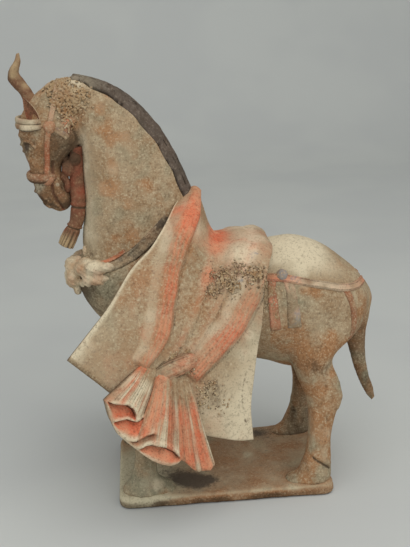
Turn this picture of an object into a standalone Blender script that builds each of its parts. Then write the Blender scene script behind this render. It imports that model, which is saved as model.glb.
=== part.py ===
# Saddled horse figure in fired earthenware, standing on its slab plinth.
#
# The horse faces -X and its left flank faces -Y. The origin is the centre of the plinth's
# underside. Tables are in millimetres; every mesh is written in metres.
# The limbs are lofted through oval sections and fused into one bare body. Cloth and straps
# are laid on it along guide points, and one union joins the lot into one solid of clay.

import math

import bmesh
import bpy
from mathutils import Vector
from mathutils.bvhtree import BVHTree

MM = 0.001
FLANKS = ((-1, "left"), (1, "right"))

# The bare body's skin.
SKIN_VOXEL = 2.6
SKIN_SOFTENING = 6
SKIN_KEPT = 0.0278
NECK_PINCH = 0.45
HEAD_PINCH = 0.1

# Plinth: a thin slab with rounded corners.
PLINTH_LENGTH = 178
PLINTH_WIDTH = 116
PLINTH_THICKNESS = 10
PLINTH_CORNER = 9
PLINTH_EDGE_ROUND = 1.5
FOOT_GAP = 0.3
FOOT_LEVEL = PLINTH_THICKNESS + FOOT_GAP

# A section row is (front x, front z, back x, back z, side y, half width): an oval ring whose
# long axis runs from the front point to the back point.
NECK = [
    (-102, 184, -8, 186, 0, 33),
    (-106, 203, -10, 216, 0, 31),
    (-106, 219, -16, 246, 0, 29),
    (-103, 236, -23, 267, 0, 26.5),
    (-102, 254, -31, 286, 0, 24),
    (-102, 272, -44, 307, 0, 21.5),
    (-101, 290, -60, 325, 0, 20),
    (-102, 305, -77, 337, 0, 18.5),
    (-108, 318, -94, 343, 0, 17),
    (-116, 330, -106, 345, 0, 12),
]
HEAD = [
    (-123, 341, -104, 343, 0, 9),
    (-135, 331, -97, 335, 0, 14.5),
    (-144, 320, -96, 321, 0, 18),
    (-148, 309, -98, 307, 0, 19),
    (-148, 298, -102, 294, 0, 18),
    (-146, 288, -113, 283, 0, 14.5),
    (-143, 278, -118, 274, 0, 12),
    (-142, 268, -117, 265, 0, 11.5),
    (-140, 259, -113, 257, 0, 12),
    (-137, 251, -111, 249, 0, 11.5),
    (-131, 244, -113, 243, 0, 9),
    (-123, 239, -117, 240, 0, 4),
]
TAIL = [
    (96, 172, 108, 178, 0, 7),
    (104, 164, 122, 171, 0, 9),
    (111, 152, 131, 156, 0, 9.5),
    (112, 138, 130, 140, 0, 9),
    (110, 120, 127, 121, 0, 8),
    (113, 104, 127, 105, 0, 7),
    (117, 89, 128, 92, 0, 6),
    (122, 74, 131, 79, 0, 5),
    (128, 62, 135, 68, 0, 3.6),
    (133, 55.5, 136.5, 58, 0, 1.6),
]
PLUME = [
    (-143, 320, -130, 324, 0, 4.5),
    (-144, 331, -135, 334, 0, 4.2),
    (-149, 338, -140, 342, 0, 3.8),
    (-153, 344, -144, 348, 0, 3.6),
    (-151.5, 351, -143.5, 352, 0, 3.2),
    (-147, 357, -142, 358, 0, 2.4),
    (-145, 363, -142.5, 363.5, 0, 1.2),
]
THROAT_TASSEL = [
    (-112, 290, -100, 291, -3, 5),
    (-113, 276, -99.5, 277, -4, 5.8),
    (-112.5, 250, -99.5, 250, -5, 5.6),
    (-113.5, 233, -101, 231, -5, 5.4),
    (-119, 226, -105, 220, -5, 5.4),
    (-127, 217.5, -113.5, 211.5, -5, 6.2),
]
BREAST_KNOT = [
    (-110, 209, -99, 197, -4, 9),
    (-118, 200, -104, 188, -6, 12),
    (-119, 190, -105, 181, -7, 10),
    (-116, 179, -105, 175, -7, 7),
    (-114, 170, -108, 168, -7, 4),
]
HINDLEG = [
    (52, 150, 118, 152, 22, 20),
    (53, 128, 112, 134, 26, 21),
    (58, 110, 96, 118, 30, 18),
    (62, 96, 91, 108, 33, 14),
    (67, 84, 96, 95, 35, 11.5),
    (69, 74, 98, 82, 37, 11),
    (70, 62, 93, 66, 39, 9.5),
    (69, 48, 89, 50, 41, 9),
    (67, 36, 88, 37, 43, 9.5),
    (65, 30, 88, 25, 44, 10.5),
    (61, 20, 88, 16, 45, 12),
    (58, 10, 87, 10, 45.5, 12.5),
    (58, 5, 87, 5, 45.5, 12.5),
]
FORELEG = [
    (-88, 158, -42, 158, 20, 19),
    (-86, 134, -46, 134, 25, 18),
    (-82, 112, -51, 112, 30, 14.5),
    (-79, 92, -55, 92, 34, 11.5),
    (-78, 76, -56, 76, 36, 11),
    (-76, 64, -58, 63, 38, 9.5),
    (-75, 48, -58, 47, 41, 9),
    (-76, 36, -57, 35, 44, 9.5),
    (-78, 29, -56, 24, 45, 10.5),
    (-80, 19, -54, 15, 46, 12),
    (-82, 10, -54, 10, 46, 12.5),
    (-82, 5, -54, 5, 46, 12.5),
]

# Torso and saddle rows are upright ovals: (x, low z, high z, half width).
TORSO = [
    (-112, 178, 196, 12),
    (-106, 164, 206, 24),
    (-94, 148, 212, 33),
    (-72, 130, 215, 39),
    (-45, 119, 214, 42),
    (-14, 112, 209, 44),
    (16, 109, 206, 45),
    (42, 103, 207, 45),
    (64, 96, 209, 45),
    (86, 100, 202, 44),
    (104, 112, 189, 39),
    (118, 126, 176, 28),
    (126, 142, 164, 12),
]
SADDLE = [
    (-36, 184, 222, 8),
    (-28, 176, 238, 14),
    (-14, 170, 238, 22),
    (-4, 168, 214, 26),
    (12, 166, 208, 32),
    (26, 166, 208, 34),
    (38, 168, 199, 32),
    (44, 176, 190, 24),
]

# Saddle cloth: one stiff sheet from hem to hem over the saddle. Points are (x, out y, z), out
# from the middle plane, and the top line lies on that plane.
CLOTH_TOP = [
    (-23, 0, 249), (-17, 0, 251), (-10, 0, 245), (-4, 0, 224), (2, 0, 215),
    (12, 0, 217), (22, 0, 218), (33, 0, 213), (43, 0, 205),
]
CLOTH_FRONT = {
    "left": [
        (-23, 0, 249), (-31, 16, 243), (-40, 32, 231), (-52, 45, 217),
        (-68, 58, 204), (-85, 70, 181), (-101, 80, 164), (-118, 88, 146),
    ],
    "right": [
        (-23, 0, 249), (-31, 16, 243), (-39, 32, 231), (-48, 45, 216),
        (-60, 57, 202), (-73, 68, 184), (-85, 77, 168), (-96, 85, 152),
    ],
}
CLOTH_REAR = [
    (43, 0, 205), (42, 32, 204), (38, 46, 197), (34, 53, 184), (31, 60, 158),
    (26, 65, 136), (22, 69, 113), (19, 72, 89), (20, 74, 64),
]
CLOTH_HEM = {
    "left": [
        (-118, 88, 146), (-96, 88, 125), (-75, 87, 104), (-54, 85, 89),
        (-34, 82, 79), (-16, 80, 73), (6, 77, 66), (20, 74, 64),
    ],
    "right": [
        (-96, 85, 152), (-82, 86, 126), (-66, 86, 104), (-49, 85, 89),
        (-32, 82, 79), (-14, 80, 72), (6, 77, 66), (20, 74, 64),
    ],
}
CLOTH_THICKNESS = 4.5
CLOTH_COLUMNS = 10
CLOTH_ROWS = 8

# Scarf: a length of cloth over the saddle, drawn down each flank by two rolled bands to a
# knot, below which it fans out in pleats. Points are (x, out y, z).
FRONT_BAND = [
    (-13, 0, 252), (-18, 14, 242), (-24, 30, 228), (-32, 43, 211), (-38, 54, 192),
    (-44, 62, 172), (-49, 66, 158), (-54, 72, 147), (-55, 76, 139), (-53, 78, 131),
]
REAR_BAND = [
    (37, 0, 212), (37, 20, 211), (32, 44, 203), (26, 53, 187), (17, 60, 170),
    (6, 64, 157), (-6, 68, 145), (-18, 72, 136), (-34, 76, 129),
]
INNER_FOLDS = [
    [(-4, 16, 216), (-7, 38, 203), (-14, 54, 184), (-23, 62, 164), (-34, 70, 147), (-43, 75, 135)],
    [(14, 20, 214), (12, 38, 207), (3, 54, 187), (-10, 64, 164), (-24, 70, 144), (-36, 75, 132)],
]
BAND_WIDTH = 15
BAND_HEIGHT = 4.6
BAND_BED = 2.5
FOLD_WIDTH = 10
FOLD_HEIGHT = 2.6
FOLD_BED = 1
# Straps and bands: how far outside the surface their edges are looked for, and the share of
# their height that is lost at the edges.
LAID_FROM = 3
LAID_ROUND = 0.6
KNOT_CENTRE = (-45, 76, 132)
KNOT_HALF = (18, 8, 10)

# Fan ground: the surface that the pleats stand on, between its two edges and its hem.
FAN_LEFT_EDGE = [(-61, 76, 137), (-74, 86, 130), (-93, 97, 117)]
FAN_RIGHT_EDGE = [(-31, 73, 128), (-25, 81, 106), (-19, 87, 80), (-12, 91, 53)]
FAN_HEM = [
    (-93, 97, 117), (-90, 99, 98), (-79, 101, 82), (-64, 101, 68),
    (-46, 99, 55), (-29, 96, 47), (-12, 91, 53),
]
FAN_FLOOR = 3
FAN_CLOTH = 2.4
FAN_FOLDS = 3
FAN_FOLD_DEPTH = 8.5
FAN_FOLD_SHARE = 0.7
FAN_RIBS = 3
FAN_RIB_DEPTH = 3.6
FAN_BREADTH = 0.7
FAN_LEAN = 0.15
FAN_RECESS = 0.11
FAN_ROOT_RISE = 0.12
FAN_POCKET_FROM = 0.68
FAN_POCKET_TO = 0.84
FAN_COLUMNS = 32
FAN_DROPS = (0, 0.35, 0.65, 0.82, 1)
FAN_FLOOR_COLUMNS = 8
FAN_FLOOR_INSET = 0.015
FAN_FLOOR_DROPS = (0.3, 0.65, 0.985)

# Harness: straps are laid over the body along guide points (x, out y, z). A strap row is
# (guides, width at the start, width gained by the end, stations).
STRAPS = {
    "breast strap": (
        [
            (-117, 0, 200), (-108, 22, 203), (-92, 36, 206),
            (-76, 42, 210), (-60, 42, 221), (-44, 38, 236),
        ],
        8, 0, 8,
    ),
    "crupper strap": (
        [
            (36, 50, 194), (50, 50, 191), (66, 50, 186), (84, 48, 181),
            (100, 42, 176), (112, 30, 172), (120, 12, 170),
        ],
        6, 0, 8,
    ),
    "breech strap": ([(104, 40, 176), (108, 38, 160), (108, 36, 144), (104, 36, 130)], 6, 0, 3),
    "front pendant": ([(40, 50, 190), (40, 52, 176), (41, 52, 160), (43, 50, 146)], 4, 4, 3),
    "rear pendant": ([(50, 50, 190), (50, 52, 175), (49, 52, 160), (48, 50, 148)], 5, 4, 3),
    "cheek strap": ([(-123, 24, 309), (-126, 24, 295), (-127, 20, 282), (-128, 18, 268)], 4.5, 0, 5),
    "throat strap": ([(-121, 26, 309), (-113, 26, 303), (-107, 25, 298)], 4, 0, 3),
    "crown strap": (
        [(-123, 24, 309), (-120, 24, 320), (-118, 22, 331), (-116, 12, 345), (-115, 0, 350)],
        5, 0, 6,
    ),
}
STRAP_HEIGHT = 1.7
STRAP_BED = 1.6
# Bands round the head: a section row a little larger than the head there, and a width.
HEAD_BANDS = {
    "brow band": ((-148.5, 311.5, -124, 311.5, 0, 20), 6),
    "nose band": ((-143.5, 269, -118, 266, 0, 13.2), 7),
}
BOSS_HEIGHT = 3.4
# Bosses: (x, out y, z, radius).
BOSSES = {
    "brow boss": (-123, 18.5, 309, 4.6),
    "nose boss": (-128, 12, 267, 4.4),
    "crupper boss": (50, 44, 191, 4.8),
}

# Mane profile: (out of the crest, sideways), closed below the skin.
MANE_WIDTH = 12
MANE_HEIGHT = 1.6
MANE_ROOT = 9

EAR_ROOT = (-131.5, 12, 311.5)
EAR_TIP = (-140, 15, 329.5)
EAR_ACROSS = (0.35, 0.9, 0.1)
EAR_HALF_WIDTH = 5.2
EAR_DEPTH = 0.62
EAR_HOLLOW = 0.15
EAR_BELLY = 0.3
EAR_ROWS = 6
EAR_SIDES = 8
HOOP_SIDES = 14
EYE = (-141, 14.5, 299)
EYE_HALF = (5, 3.6, 3.4)
NOSTRIL = (-133, 10.5, 251)
NOSTRIL_HALF = (5.5, 3.4, 2.2)
LIPS = [(-126, 259), (-124, 252), (-120, 245), (-114, 237)]
LIPS_OPENING = 1.6
LIPS_FROM = 7
LIPS_TO = 20
BIT_HOLE = (-117, 12, 259)
BIT_HOLE_HALF = (1.5, 3, 1.5)

CLAY = (0.56, 0.45, 0.33, 1)
PLINTH_CLAY = (0.42, 0.32, 0.24, 1)


def clear_scene():
    for thing in list(bpy.data.objects):
        bpy.data.objects.remove(thing, do_unlink=True)


def clay_material(name, colour):
    material = bpy.data.materials.new(name)
    material.use_nodes = True
    shader = material.node_tree.nodes["Principled BSDF"]
    shader.inputs["Base Color"].default_value = colour
    shader.inputs["Roughness"].default_value = 0.9
    shader.inputs["Metallic"].default_value = 0.0
    return material


def curve(rows, place):
    """The point at a place, counted in rows, on the Catmull-Rom curve through the rows."""
    i = min(int(place), len(rows) - 2)
    t = place - i
    b, c = Vector(rows[i]), Vector(rows[i + 1])
    a = Vector(rows[i - 1]) if i else 2 * b - c
    d = Vector(rows[i + 2]) if i + 2 < len(rows) else 2 * c - b
    square = (2 * a - 5 * b + 4 * c - d) * t**2
    cube = (3 * b - a - 3 * c + d) * t**3
    return 0.5 * (2 * b + (c - a) * t + square + cube)


def smooth_rows(rows, steps):
    """The rows with steps - 1 more between each pair."""
    return [curve(rows, i / steps) for i in range(steps * (len(rows) - 1) + 1)]


def at(rows, share):
    """The point a share of the way along the smooth curve through the rows."""
    return curve(rows, min(max(share, 0), 1) * (len(rows) - 1))


def add_object(name, mesh_data):
    points, faces = mesh_data
    mesh = bpy.data.meshes.new(name)
    mesh.from_pydata([Vector(p) * MM for p in points], [], faces)
    shape = bmesh.new()
    shape.from_mesh(mesh)
    bmesh.ops.recalc_face_normals(shape, faces=shape.faces)
    shape.to_mesh(mesh)
    shape.free()
    thing = bpy.data.objects.new(name, mesh)
    bpy.context.scene.collection.objects.link(thing)
    return thing


def tube(rings):
    """Points and faces of a closed tube through rings of equal length, with a pole at each end."""
    around = len(rings[0])
    points = [p for ring in rings for p in ring]
    faces = [
        (r * around + i, r * around + (i + 1) % around,
         (r + 1) * around + (i + 1) % around, (r + 1) * around + i)
        for r in range(len(rings) - 1)
        for i in range(around)
    ]
    for first, ring in ((0, rings[0]), ((len(rings) - 1) * around, rings[-1])):
        points.append(sum((Vector(p) for p in ring), Vector()) / around)
        faces += [(first + i, first + (i + 1) % around, len(points) - 1) for i in range(around)]
    return points, faces


def oval(row, around, pinch=0.0):
    """A ring of a section row; pinch narrows it towards its back point."""
    front_x, front_z, back_x, back_z, side, half = row
    front = Vector((front_x, side, front_z))
    back = Vector((back_x, side, back_z))
    ring = []
    for i in range(around):
        turn = 2 * math.pi * i / around
        width = half * math.sin(turn) * (1 - pinch * (1 + math.cos(turn)) / 2)
        ring.append((front + back) / 2 + (back - front) / 2 * math.cos(turn) + Vector((0, width, 0)))
    return ring


def limb(rows, around, steps=1, pinch=0.0, side=1):
    mirrored = [(*row[:4], side * row[4], row[5]) for row in rows]
    return tube([oval(row, around, pinch) for row in smooth_rows(mirrored, steps)])


def upright(rows):
    """Torso rows as section rows."""
    return [(x, low, x, high, 0, half) for x, low, high, half in rows]


def ellipsoid(centre, half, around=10, levels=4):
    """A ball stretched to three half sizes."""
    rings = []
    for level in range(1, levels):
        tilt = math.pi * level / levels
        rings.append([
            Vector((
                centre[0] + half[0] * math.sin(tilt) * math.cos(2 * math.pi * i / around),
                centre[1] + half[1] * math.cos(tilt),
                centre[2] + half[2] * math.sin(tilt) * math.sin(2 * math.pi * i / around),
            ))
            for i in range(around)
        ])
    points, faces = tube(rings)
    points[-2] = Vector((centre[0], centre[1] + half[1], centre[2]))
    points[-1] = Vector((centre[0], centre[1] - half[1], centre[2]))
    return points, faces


def under(grid, depth):
    """A grid lying a depth under another, along its normals."""
    rows, columns = len(grid), len(grid[0])
    found = []
    for r in range(rows):
        found.append([])
        for c in range(columns):
            along = grid[min(r + 1, rows - 1)][c] - grid[max(r - 1, 0)][c]
            across = grid[r][min(c + 1, columns - 1)] - grid[r][max(c - 1, 0)]
            found[-1].append(grid[r][c] - across.cross(along).normalized() * depth)
    return found


def grid_faces(rows, columns, first=0):
    corners = [first + r * columns + c for r in range(rows - 1) for c in range(columns - 1)]
    return [(a, a + 1, a + columns + 1, a + columns) for a in corners]


def sheet(outer, inner):
    """A closed solid between two grids of the same size."""
    rows, columns = len(outer), len(outer[0])
    points = [p for grid in (outer, inner) for row in grid for p in row]
    shift = rows * columns
    faces = grid_faces(rows, columns)
    faces += [tuple(reversed(face)) for face in grid_faces(rows, columns, shift)]
    rim = [c for c in range(columns)]
    rim += [r * columns + columns - 1 for r in range(1, rows)]
    rim += [(rows - 1) * columns + c for c in range(columns - 2, -1, -1)]
    rim += [r * columns for r in range(rows - 2, 0, -1)]
    for a, b in zip(rim, rim[1:] + rim[:1]):
        faces.append((a, b, shift + b, shift + a))
    return points, faces


def outward(point, side):
    return Vector((point[0], side * point[1], point[2]))


def cloth_point(flank, u, v):
    """The saddle cloth's outer face on one flank: u from front to rear, v from top to hem."""
    top, hem = at(CLOTH_TOP, u), at(CLOTH_HEM[flank], u)
    front, rear = at(CLOTH_FRONT[flank], v), at(CLOTH_REAR, v)
    corners = (
        (1 - v) * ((1 - u) * Vector(CLOTH_TOP[0]) + u * Vector(CLOTH_TOP[-1]))
        + v * ((1 - u) * Vector(CLOTH_HEM[flank][0]) + u * Vector(CLOTH_HEM[flank][-1]))
    )
    return (1 - v) * top + v * hem + (1 - u) * front + u * rear - corners


def cloth_grid(across, down):
    """The saddle cloth's outer face, from the right hem over the saddle to the left hem."""
    grid = []
    for i in range(across + 1):
        u = i / across
        right = [outward(cloth_point("right", u, j / down), 1) for j in range(down, 0, -1)]
        left = [outward(cloth_point("left", u, j / down), -1) for j in range(down + 1)]
        grid.append(right + left)
    return grid


def tree_of(points, faces):
    """A search tree over a surface, for laying straps and folds on it."""
    return BVHTree.FromPolygons([Vector(p) for p in points], faces)


def nearest(tree, guide):
    """The surface point nearest a guide point, and the way out of the clay there."""
    spot, way, _, _ = tree.find_nearest(guide)
    return spot, way


def laid_on(tree, guides, width, height, bed, stations, swell=0.0, shares=(-1, 0, 1)):
    """A strap or band that follows the surface: a rounded ridge on top and a flat bed sunk
    into the clay. It widens by its swell from start to end."""
    spots = [nearest(tree, at(guides, i / stations)) for i in range(stations + 1)]
    rings = []
    for i, (spot, way) in enumerate(spots):
        ahead = spots[min(i + 1, stations)][0] - spots[max(i - 1, 0)][0]
        across = way.cross(ahead).normalized() * (width + swell * i / stations) / 2
        crown, foot = [], []
        for share in shares:
            # Each point is looked for from just outside the surface, so the strap hugs it.
            near, _ = nearest(tree, spot + across * share + way * LAID_FROM)
            crown.append(near + way * height * (1 - LAID_ROUND * share**2))
            foot.append(near - way * bed)
        rings.append(crown + [foot[-1], foot[len(foot) // 2], foot[0]])
    return tube(rings)


def on_flank(guides, side):
    return [outward(guide, side) for guide in guides]


def over_back(guides):
    """Guide points that run up one flank and down the other."""
    return on_flank(guides[:0:-1], 1) + on_flank(guides, -1)


def pleat(share):
    """How far the fan stands out at a share of the way round it, and how far it leans: broad
    folds that lean over their valleys, then narrow upright ribs."""
    past = share - FAN_FOLD_SHARE
    if past < 0:
        turn, depth, lean = FAN_FOLDS * share / FAN_FOLD_SHARE, FAN_FOLD_DEPTH, FAN_LEAN
    else:
        turn, depth, lean = FAN_RIBS * past / (1 - FAN_FOLD_SHARE), FAN_RIB_DEPTH, 0
    rise = (0.5 - 0.5 * math.cos(2 * math.pi * turn)) ** FAN_BREADTH
    return rise * depth, rise * lean


def fan_ground(share, drop):
    """The surface that the pleats stand on: share from left to right, drop from knot to hem."""
    hem, left, right = at(FAN_HEM, share), at(FAN_LEFT_EDGE, drop), at(FAN_RIGHT_EDGE, drop)
    corners = Vector(FAN_LEFT_EDGE[-1]).lerp(Vector(FAN_RIGHT_EDGE[-1]), share)
    return left.lerp(right, share) + (hem - corners) * drop


def fan_out(share, drop):
    """The way out of the fan's ground."""
    along = fan_ground(min(share + 0.05, 1), drop) - fan_ground(min(share, 0.95), drop)
    away = fan_ground(share, min(drop + 0.1, 1)) - fan_ground(share, min(drop, 0.9))
    return along.cross(away).normalized()


def fan_pleats(side):
    """The pleated cloth below the knot, solid at the knot and open in pockets at the hem."""
    outer, inner = [], []
    for i in range(FAN_COLUMNS + 1):
        share = i / FAN_COLUMNS
        rise, lean = pleat(share)
        outer.append([])
        inner.append([])
        for drop in FAN_DROPS:
            leant = share + lean * drop
            short = drop * (1 - FAN_RECESS * rise / FAN_FOLD_DEPTH * drop)
            out = fan_out(leant, short)
            spread = FAN_ROOT_RISE + (1 - FAN_ROOT_RISE) * drop
            top = fan_ground(leant, short) + out * (FAN_FLOOR + rise * spread)
            floor = fan_ground(share, short) - out * FAN_FLOOR / 2
            opened = min(1, max(0, (drop - FAN_POCKET_FROM) / (FAN_POCKET_TO - FAN_POCKET_FROM)))
            outer[-1].append(outward(top, side))
            inner[-1].append(outward(floor.lerp(top - out * FAN_CLOTH, opened), side))
    return sheet(outer, inner)


def fan_floor(side):
    """The cloth behind the pleats, which closes their pockets. It ends a little inside their
    edges, so that no two faces share a plane."""
    outer, inner = [], []
    for i in range(FAN_FLOOR_COLUMNS + 1):
        share = FAN_FLOOR_INSET + (1 - 2 * FAN_FLOOR_INSET) * i / FAN_FLOOR_COLUMNS
        spots = [(fan_ground(share, drop), fan_out(share, drop)) for drop in FAN_FLOOR_DROPS]
        outer.append([outward(spot + out * FAN_FLOOR / 2, side) for spot, out in spots])
        inner.append([outward(spot - out * FAN_FLOOR, side) for spot, out in spots])
    return sheet(outer, inner)


def hoop(row, width):
    """A flat band round the head."""
    front_x, front_z, back_x, back_z, side, half = row
    rows = [
        (front_x, front_z + rise, back_x, back_z + rise, side, half)
        for rise in (-width / 2, width / 2)
    ]
    return tube([oval(r, HOOP_SIDES) for r in rows])


def ear(side):
    """A leaf with a hollow front, leaning forward."""
    root, tip = outward(EAR_ROOT, side), outward(EAR_TIP, side)
    up = (tip - root).normalized()
    wide = outward(EAR_ACROSS, side).normalized()
    deep = up.cross(wide).normalized() * side
    rings = []
    for i in range(EAR_ROWS):
        share = i / (EAR_ROWS - 1)
        half = EAR_HALF_WIDTH * math.sin(math.pi * (EAR_BELLY + (0.99 - EAR_BELLY) * share))
        ring = []
        for k in range(EAR_SIDES):
            turn = 2 * math.pi * k / EAR_SIDES
            depth = EAR_DEPTH * (EAR_HOLLOW if math.sin(turn) > 0 else 1)
            reach = wide * math.cos(turn) + deep * depth * math.sin(turn)
            ring.append(root.lerp(tip, share) + reach * half)
        rings.append(ring)
    return tube(rings)


def mane():
    """The cropped mane: a raised band along the crest of the neck."""
    line = [Vector((row[2], 0, row[3])) for row in NECK[1:]]
    half = MANE_WIDTH / 2
    rings = []
    for i, foot in enumerate(line):
        ahead = line[min(i + 1, len(line) - 1)] - line[max(i - 1, 0)]
        out = Vector((ahead.z, 0, -ahead.x)).normalized()
        # Both ends sink into the neck.
        height = MANE_HEIGHT if 0 < i < len(line) - 1 else -1
        profile = (
            (-MANE_ROOT, -half), (-MANE_ROOT / 2, -half), (height - 1, 0.6 - half), (height, 0),
            (height - 1, half - 0.6), (-MANE_ROOT / 2, half), (-MANE_ROOT, half),
        )
        rings.append([foot + out * rise + Vector((0, reach, 0)) for rise, reach in profile])
    return tube(rings)


def lips_cut(side):
    """A thin slot along the line of the lips."""
    half = LIPS_OPENING / 2
    corners = ((-half, LIPS_TO), (-half, LIPS_FROM), (half, LIPS_FROM), (half, LIPS_TO))
    return tube([[Vector((x + shift, side * out, z)) for shift, out in corners] for x, z in LIPS])


def plinth():
    """The slab, with rounded corners in plan and softened edges."""
    half_x, half_y = PLINTH_LENGTH / 2, PLINTH_WIDTH / 2
    ring = []
    for turn_x, turn_y, start in ((1, 1, 0), (-1, 1, 90), (-1, -1, 180), (1, -1, 270)):
        for step in range(4):
            angle = math.radians(start + 90 * step / 3)
            ring.append((
                turn_x * (half_x - PLINTH_CORNER) + PLINTH_CORNER * math.cos(angle),
                turn_y * (half_y - PLINTH_CORNER) + PLINTH_CORNER * math.sin(angle),
            ))
    shape = bmesh.new()
    floor = shape.faces.new([shape.verts.new((x * MM, y * MM, 0)) for x, y in ring])
    raised = bmesh.ops.extrude_face_region(shape, geom=[floor])
    top = [v for v in raised["geom"] if isinstance(v, bmesh.types.BMVert)]
    bmesh.ops.translate(shape, verts=top, vec=(0, 0, PLINTH_THICKNESS * MM))
    bmesh.ops.recalc_face_normals(shape, faces=shape.faces)
    mesh = bpy.data.meshes.new("plinth")
    shape.to_mesh(mesh)
    shape.free()
    thing = bpy.data.objects.new("plinth", mesh)
    bpy.context.scene.collection.objects.link(thing)
    softened = thing.modifiers.new("softened edges", "BEVEL")
    softened.width = PLINTH_EDGE_ROUND * MM
    softened.segments = 2
    softened.limit_method = "ANGLE"
    softened.angle_limit = math.radians(50)
    return thing


def evaluated(thing):
    """The points and faces of an object with its modifiers applied, in millimetres."""
    mesh = thing.evaluated_get(bpy.context.evaluated_depsgraph_get()).to_mesh()
    return [v.co / MM for v in mesh.vertices], [tuple(face.vertices) for face in mesh.polygons]


def largest_island(mesh):
    """Deletes all but the mesh's largest island, which fills the small sealed pockets that
    straps leave over hollows of the body."""
    shape = bmesh.new()
    shape.from_mesh(mesh)
    islands = []
    seen = set()
    for start in shape.verts:
        if start in seen:
            continue
        island = {start}
        waiting = [start]
        while waiting:
            for edge in waiting.pop().link_edges:
                for point in edge.verts:
                    if point not in island:
                        island.add(point)
                        waiting.append(point)
        seen |= island
        islands.append(island)
    kept = max(islands, key=len)
    bmesh.ops.delete(shape, geom=[v for v in shape.verts if v not in kept], context="VERTS")
    shape.to_mesh(mesh)
    shape.free()


def bare_body():
    """The unclothed horse: its limbs fused into one skin, softened where they meet."""
    limbs = [
        limb(upright(TORSO), 22, 2),
        limb(NECK, 20, 2, pinch=NECK_PINCH),
        limb(HEAD, 20, 2, pinch=HEAD_PINCH),
        limb(TAIL, 12, 2),
    ]
    for side in (-1, 1):
        limbs += [limb(HINDLEG, 14, 2, side=side), limb(FORELEG, 14, 2, side=side)]
    points, faces = [], []
    for limb_points, limb_faces in limbs:
        faces += [tuple(len(points) + i for i in face) for face in limb_faces]
        points += limb_points
    skin = add_object("bare body", (points, faces))
    fusing = skin.modifiers.new("fused", "REMESH")
    fusing.mode = "VOXEL"
    fusing.voxel_size = SKIN_VOXEL * MM
    softening = skin.modifiers.new("softened", "SMOOTH")
    softening.factor = 0.5
    softening.iterations = SKIN_SOFTENING
    thinning = skin.modifiers.new("fewer faces", "DECIMATE")
    thinning.ratio = SKIN_KEPT
    found = evaluated(skin)
    bpy.data.objects.remove(skin, do_unlink=True)
    return found


def drape():
    """The saddle cloth, and the scarf that is drawn over it into knots and fans."""
    cloth = cloth_grid(CLOTH_COLUMNS, CLOTH_ROWS)
    tree = tree_of([p for row in cloth for p in row], grid_faces(len(cloth), len(cloth[0])))
    made = {"saddle cloth": sheet(cloth, under(cloth, CLOTH_THICKNESS))}
    for name, guides in (("front band", FRONT_BAND), ("rear band", REAR_BAND)):
        made[name] = laid_on(
            tree, over_back(guides), BAND_WIDTH, BAND_HEIGHT, BAND_BED, 16,
            shares=(-1, -0.55, 0, 0.55, 1),
        )
    for side, flank in FLANKS:
        for n, guides in enumerate(INNER_FOLDS):
            line = on_flank(guides, side)
            made[f"{flank} fold {n}"] = laid_on(tree, line, FOLD_WIDTH, FOLD_HEIGHT, FOLD_BED, 6)
        made[f"{flank} knot"] = ellipsoid(outward(KNOT_CENTRE, side), KNOT_HALF)
        made[f"{flank} fan pleats"] = fan_pleats(side)
        made[f"{flank} fan floor"] = fan_floor(side)
    return made


def harness(skin):
    """Straps, head bands and bosses, laid on the bare body."""
    made = {name: hoop(row, width) for name, (row, width) in HEAD_BANDS.items()}
    for side, flank in FLANKS:
        for name, (guides, width, swell, stations) in STRAPS.items():
            made[f"{flank} {name}"] = laid_on(
                skin, on_flank(guides, side), width, STRAP_HEIGHT, STRAP_BED, stations, swell
            )
        for name, (x, out, z, radius) in BOSSES.items():
            seat, _ = nearest(skin, outward((x, out, z), side))
            made[f"{flank} {name}"] = ellipsoid(seat, (radius, BOSS_HEIGHT, radius), 8)
    return made


def horse_forms(body):
    """Every form that is joined to the bare body, as closed meshes by name."""
    made = {
        "mane": mane(),
        "plume": limb(PLUME, 8),
        "saddle": limb(upright(SADDLE), 12),
        "throat tassel": limb(THROAT_TASSEL, 10),
        "breast knot": limb(BREAST_KNOT, 10),
    }
    made.update(drape())
    made.update(harness(tree_of(*body)))
    for side, flank in FLANKS:
        made[f"{flank} ear"] = ear(side)
        made[f"{flank} eye"] = ellipsoid(outward(EYE, side), EYE_HALF, 8)
    return made


def horse_cutters():
    """What is carved away: nostrils, the line of the lips, the bit holes, and the clay below
    the soles of the hooves."""
    x, y = PLINTH_LENGTH / 2, PLINTH_WIDTH / 2
    corners = ((-x, -y), (x, -y), (x, y), (-x, y))
    made = {"ground": tube([[(*corner, z) for corner in corners] for z in (0, FOOT_LEVEL)])}
    for side, flank in FLANKS:
        made[f"{flank} nostril"] = ellipsoid(outward(NOSTRIL, side), NOSTRIL_HALF, 8)
        made[f"{flank} lips"] = lips_cut(side)
        made[f"{flank} bit hole"] = ellipsoid(outward(BIT_HOLE, side), BIT_HOLE_HALF, 6)
    return made


def helpers(label, meshes):
    """A hidden collection of the solids that a Boolean reads."""
    group = bpy.data.collections.new(label)
    bpy.context.scene.collection.children.link(group)
    for name, mesh_data in meshes.items():
        thing = add_object(name, mesh_data)
        bpy.context.scene.collection.objects.unlink(thing)
        group.objects.link(thing)
        thing.hide_render = True
        thing.display_type = "WIRE"
    return group


def joined(thing, label, group, operation):
    step = thing.modifiers.new(label, "BOOLEAN")
    step.operand_type = "COLLECTION"
    step.collection = group
    step.operation = operation
    # The exact solver leaves open edges where the pleats fold over themselves.
    step.solver = "MANIFOLD"


def horse():
    body = bare_body()
    clay = add_object("clay", body)
    joined(clay, "clay joined", helpers("forms", horse_forms(body)), "UNION")
    joined(clay, "carving", helpers("cutters", horse_cutters()), "DIFFERENCE")
    figure = add_object("saddled_horse", evaluated(clay))
    bpy.data.objects.remove(clay, do_unlink=True)
    largest_island(figure.data)
    figure.data.materials.append(clay_material("painted earthenware", CLAY))


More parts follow.
